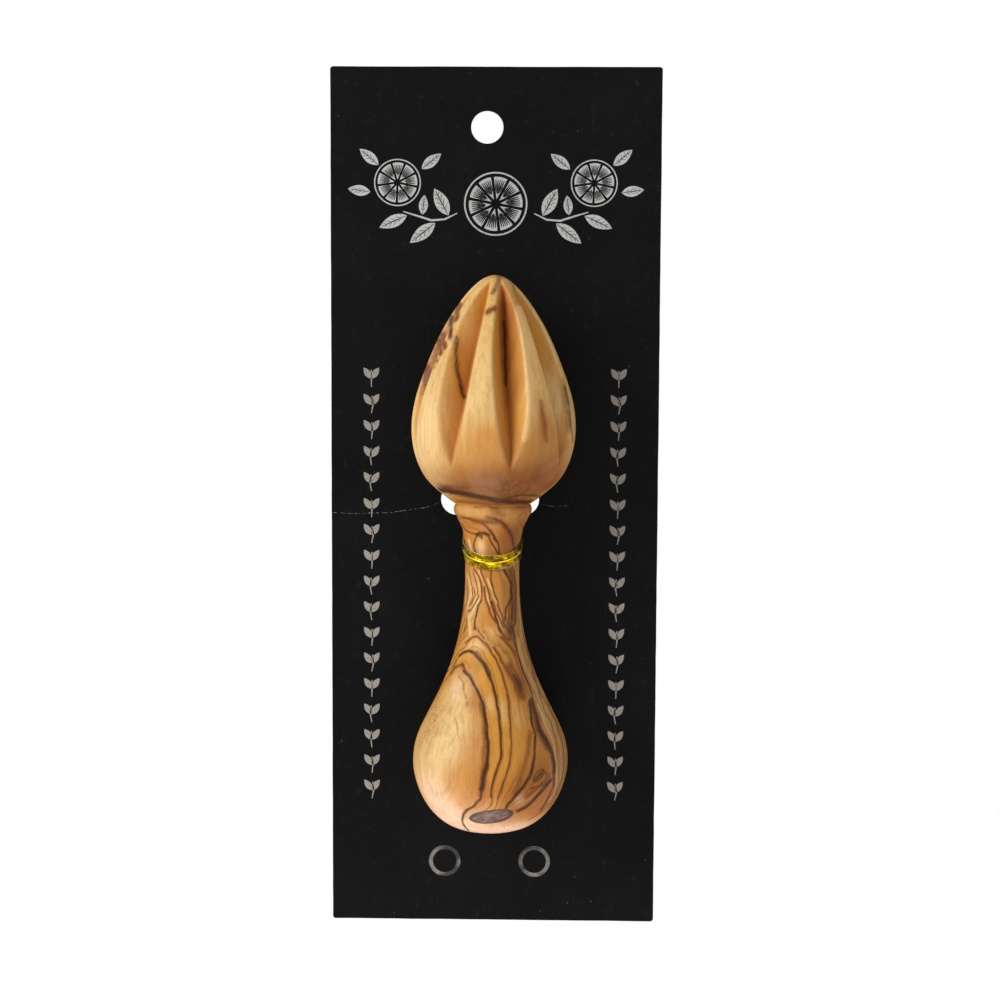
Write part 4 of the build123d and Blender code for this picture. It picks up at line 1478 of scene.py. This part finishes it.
def wrap_stations():
    """Round the front of the neck from left to right: place, width and length directions."""
    stations = []
    slope = math.tan(TIE_TILT)
    for angle in np.radians(np.linspace(-90, 90, WRAP_SECTIONS)):
        s, c = math.sin(angle), math.cos(angle)
        outward = np.array([s, -c, 0])
        along = np.array([c, s, s * slope])
        along = along / np.linalg.norm(along)
        place = loop_centre() + outward * LOOP_RADIUS + np.array([0, 0, -LOOP_RADIUS * c * slope])
        stations.append((place, np.cross(outward, along), along))
    return stations


def leg_stations():
    """From the right side of the neck, back through the card and in behind it, and where the tail starts."""
    across, back, rise = tie_directions()
    run_y = CARD_THICKNESS + TIE_BEHIND_CARD + TIE_WIDTH / 2 * math.sin(TIE_TILT) + TIE_RIDGE_HEIGHT / 2
    reach = (run_y - AXIS_Y) / math.cos(TIE_TILT)
    first = loop_centre() + across * (LOOP_RADIUS - TIE_BEND) + back * (reach - TIE_BEND)
    last = loop_centre() + across * (STRAND_OFFSET + TIE_BEND) + back * (reach + TIE_BEND)
    turns = [(math.cos(angle), math.sin(angle)) for angle in np.radians(np.linspace(0, 90, BEND_SECTIONS))]
    stations = [(first + (across * c + back * s) * TIE_BEND, rise, back * c - across * s) for c, s in turns]
    stations += [(last - (back * c + across * s) * TIE_BEND, rise, back * s - across * c) for c, s in turns]
    return stations, loop_centre() + back * (reach + TIE_BEND)


def tail_stations(start, side):
    """One strand of the twisted tail, which folds down behind the card as it turns."""
    across, back, rise = tie_directions()
    fold_length = (math.pi / 2 + TIE_TILT) * TAIL_FOLD
    fold_centre = start - rise * TAIL_FOLD
    stations = []
    for twist in np.linspace(0, math.pi * TAIL_LENGTH / TAIL_HALF_TURN, TAIL_SECTIONS)[1:]:
        travel = twist / math.pi * TAIL_HALF_TURN
        folded = min(travel, fold_length) / TAIL_FOLD
        along = back * math.cos(folded) - rise * math.sin(folded)
        square = rise * math.cos(folded) + back * math.sin(folded)
        place = fold_centre + square * TAIL_FOLD + along * max(0, travel - fold_length)
        s, c = math.sin(twist), math.cos(twist)
        outward = across * c + square * s
        stations.append((place + outward * STRAND_OFFSET * side, square * c - across * s, along))
    return stations


def tie_stations():
    """Place, width and length direction of each section of the tie, end to end."""
    legs, start = leg_stations()
    flip = np.array([-1, 1, 1])
    mirror = np.array([2 * AXIS_X, 0, 0])
    left_legs = [(mirror + p * flip, w, -a * flip) for p, w, a in legs]
    left_tail = [(p, w, -a) for p, w, a in tail_stations(start, -1)]
    stations = left_tail[::-1] + left_legs[::-1] + wrap_stations() + legs + tail_stations(start, 1)
    filled = [stations[0]]
    for station in stations[1:]:
        before = filled[-1]
        pieces = max(1, int(np.linalg.norm(station[0] - before[0]) / SECTION_STEP))
        for share in np.linspace(0, 1, pieces + 1)[1:]:
            filled.append(tuple(a + (b - a) * share for a, b in zip(before, station)))
    return filled


def strip_section():
    """Points round the strip's section: across the width and out of its face, in metres."""
    half = TIE_WIDTH / 2
    foot = TIE_RIDGE_FOOT / 2
    flat = np.linspace(half, foot + RIDGE_TO_FLAT, FLAT_POINTS)
    widths = np.concatenate([flat, np.linspace(foot, -foot, RIDGE_POINTS), -flat[::-1]])
    rise = eased((foot - np.abs(widths)) / (foot - TIE_RIDGE_TOP / 2))
    face = TIE_THICKNESS / 2 + (TIE_RIDGE_HEIGHT - TIE_THICKNESS) / 2 * rise
    return np.stack([widths, face], 1), np.stack([widths[::-1], -face[::-1]], 1)


def swept(name, section_at):
    """A closed tube of sections along the tie, with flat ends."""
    rows = []
    for index, (place, wide, along) in enumerate(tie_stations()):
        outward = np.cross(along, wide)
        section = section_at(index)
        rows.append(place + section[:, :1] * wide + section[:, 1:] * outward)
    rows = np.array(rows)
    return grid_mesh(name, rows, [tuple(rows[0].mean(0)), tuple(rows[-1].mean(0))])


def make_strip():
    """The foil strip, with small waves along its edges."""
    rng = np.random.default_rng(FOIL_SEED)
    count = len(tie_stations())
    crinkle = np.convolve(rng.normal(0, FOIL_SPREAD, count + 4), FOIL_SMOOTHING, "same")[2:-2]
    upper, lower = strip_section()
    share = upper[:, 0] / (TIE_WIDTH / 2)
    flat = np.clip((np.abs(share) - FOIL_FLAT_FROM) * FOIL_FLAT_RISE, 0, 1)

    def section_at(index):
        turn = share * FOIL_TURN_ACROSS + index * FOIL_TURN_ALONG
        wave = crinkle[index] * FOIL_WAVE * np.sin(turn) * flat
        top = upper + np.stack([np.zeros_like(wave), wave], 1)
        bottom = lower + np.stack([np.zeros_like(wave), wave[::-1]], 1)
        return np.vstack([top, bottom])

    strip = swept("tie_foil", section_at)
    side = np.concatenate([share, share[::-1]])
    set_attribute(strip, "side", np.append(np.tile(side, count), [0, 0]))
    strip.materials.append(foil_material())
    thing = add_object("tie_foil", strip, "card")
    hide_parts("tie_strip")


def make_wire():
    """The wire inside the strip."""
    turns = np.linspace(0, 2 * math.pi, WIRE_SIDES, endpoint=False)
    section = np.stack([np.cos(turns), np.sin(turns)], 1) * WIRE_RADIUS
    wire = swept("tie_core", lambda index: section)
    wire.materials.append(wire_material())
    thing = add_object("tie_core", wire, "card")
    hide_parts("tie_wire")


def foil_material():
    """Gold film, crinkled and mottled with painted reflections, with a painted highlight along its ridge and
    a pale clear edge along parts of both sides, painted where it catches the light.
    """
    t, place = new_material("gold_foil")
    reflection_mottle = t.noise(place, (0.42, 0.42, 0.55), 3.0, 0.6, 0.6)
    crease = t.noise(place, (1.5, 1.5, 1.0), 2.0, 0.5, 1.0)
    side = t.attribute("side")
    edge = t.math("ABSOLUTE", side)
    # Painted reflections: dark olive and bright gold mottling for what the crinkled foil reflects.
    colour = t.ramp(reflection_mottle, [(0.34, "2E2006"), (0.44, "664A04"), (0.54, "977405"), (0.65, "DCB610")])
    # Painted dark reflections in the creases.
    colour = t.mix(t.step(crease, 0.52, 0.64, 0.0, 0.5), colour, "4A4A06")
    # Painted highlight along the ridge.
    colour = t.mix(t.step(edge, 0.05, 0.14, 0.9, 0.0), colour, "E8C012")
    to_right = t.step_linear(t.along(place, "X"), AXIS_X / MM - 5, AXIS_X / MM + 5)
    bare_side = t.math("ADD", t.times(side, 0.5), to_right)
    # The clear edge is painted pale only along one side at the left of the neck and the other side at the
    # right, where it catches the light: partly the film, partly painted highlight.
    film = t.times(t.step(edge, 0.90, 0.97), t.step(bare_side, 0.0, 0.35, 0.0, 1.0))
    film = t.times(film, t.step(bare_side, 1.0, 1.3, 1.0, 0.0))
    colour = t.mix(t.times(film, 0.6), colour, "B9BFA8")
    metal = t.step(film, 0.3, 0.7, 0.9, 0.1)
    return t.finish(colour, t.step(crease, 0.3, 0.7, 0.2, 0.34), t.bump(crease, 0.06, 0.5), Metallic=metal)


def wire_material():
    """Bare drawn wire."""
    t, place = new_material("tie_wire_steel")
    drawn = t.noise(place, (6, 6, 1.5))
    colour = t.mix(t.step(drawn, 0.35, 0.65), "8E8E90", "BABABC")
    return t.finish(colour, t.step(drawn, 0.3, 0.7, 0.3, 0.45), t.bump(drawn, 0.01, 0.3), Metallic=1.0)


def make_world():
    """A white room: white where it is seen, softer as light."""
    world = bpy.data.worlds.new("world")
    bpy.context.scene.world = world
    t = Tree(world)
    path = t.add("LightPath").outputs
    seen = t.math("MAXIMUM", path["Is Camera Ray"], path["Is Glossy Ray"])
    seen = t.math("MAXIMUM", seen, path["Is Transmission Ray"])
    strength = t.math("MULTIPLY_ADD", seen, 1 - AMBIENT, AMBIENT)
    light = t.add("Background", {0: (1, 1, 1, 1), 1: strength})
    t.add("OutputWorld", {0: light.outputs[0]})


def make_lights():
    """Soft studio light: a strong key from the left, a weak fill from the right and below."""
    for name, place, target, size, power in LAMPS:
        lamp = bpy.data.lights.new(name, "AREA")
        lamp.size = size
        lamp.energy = power
        thing = place_in_scene(name, lamp)
        thing.location = place
        thing.rotation_euler = (target - place).to_track_quat("-Z", "Y").to_euler()


bpy.context.scene.view_settings.view_transform = "Standard"
make_camera()
make_world()
make_lights()
make_reamer()
make_card()
make_strip()
make_wire()
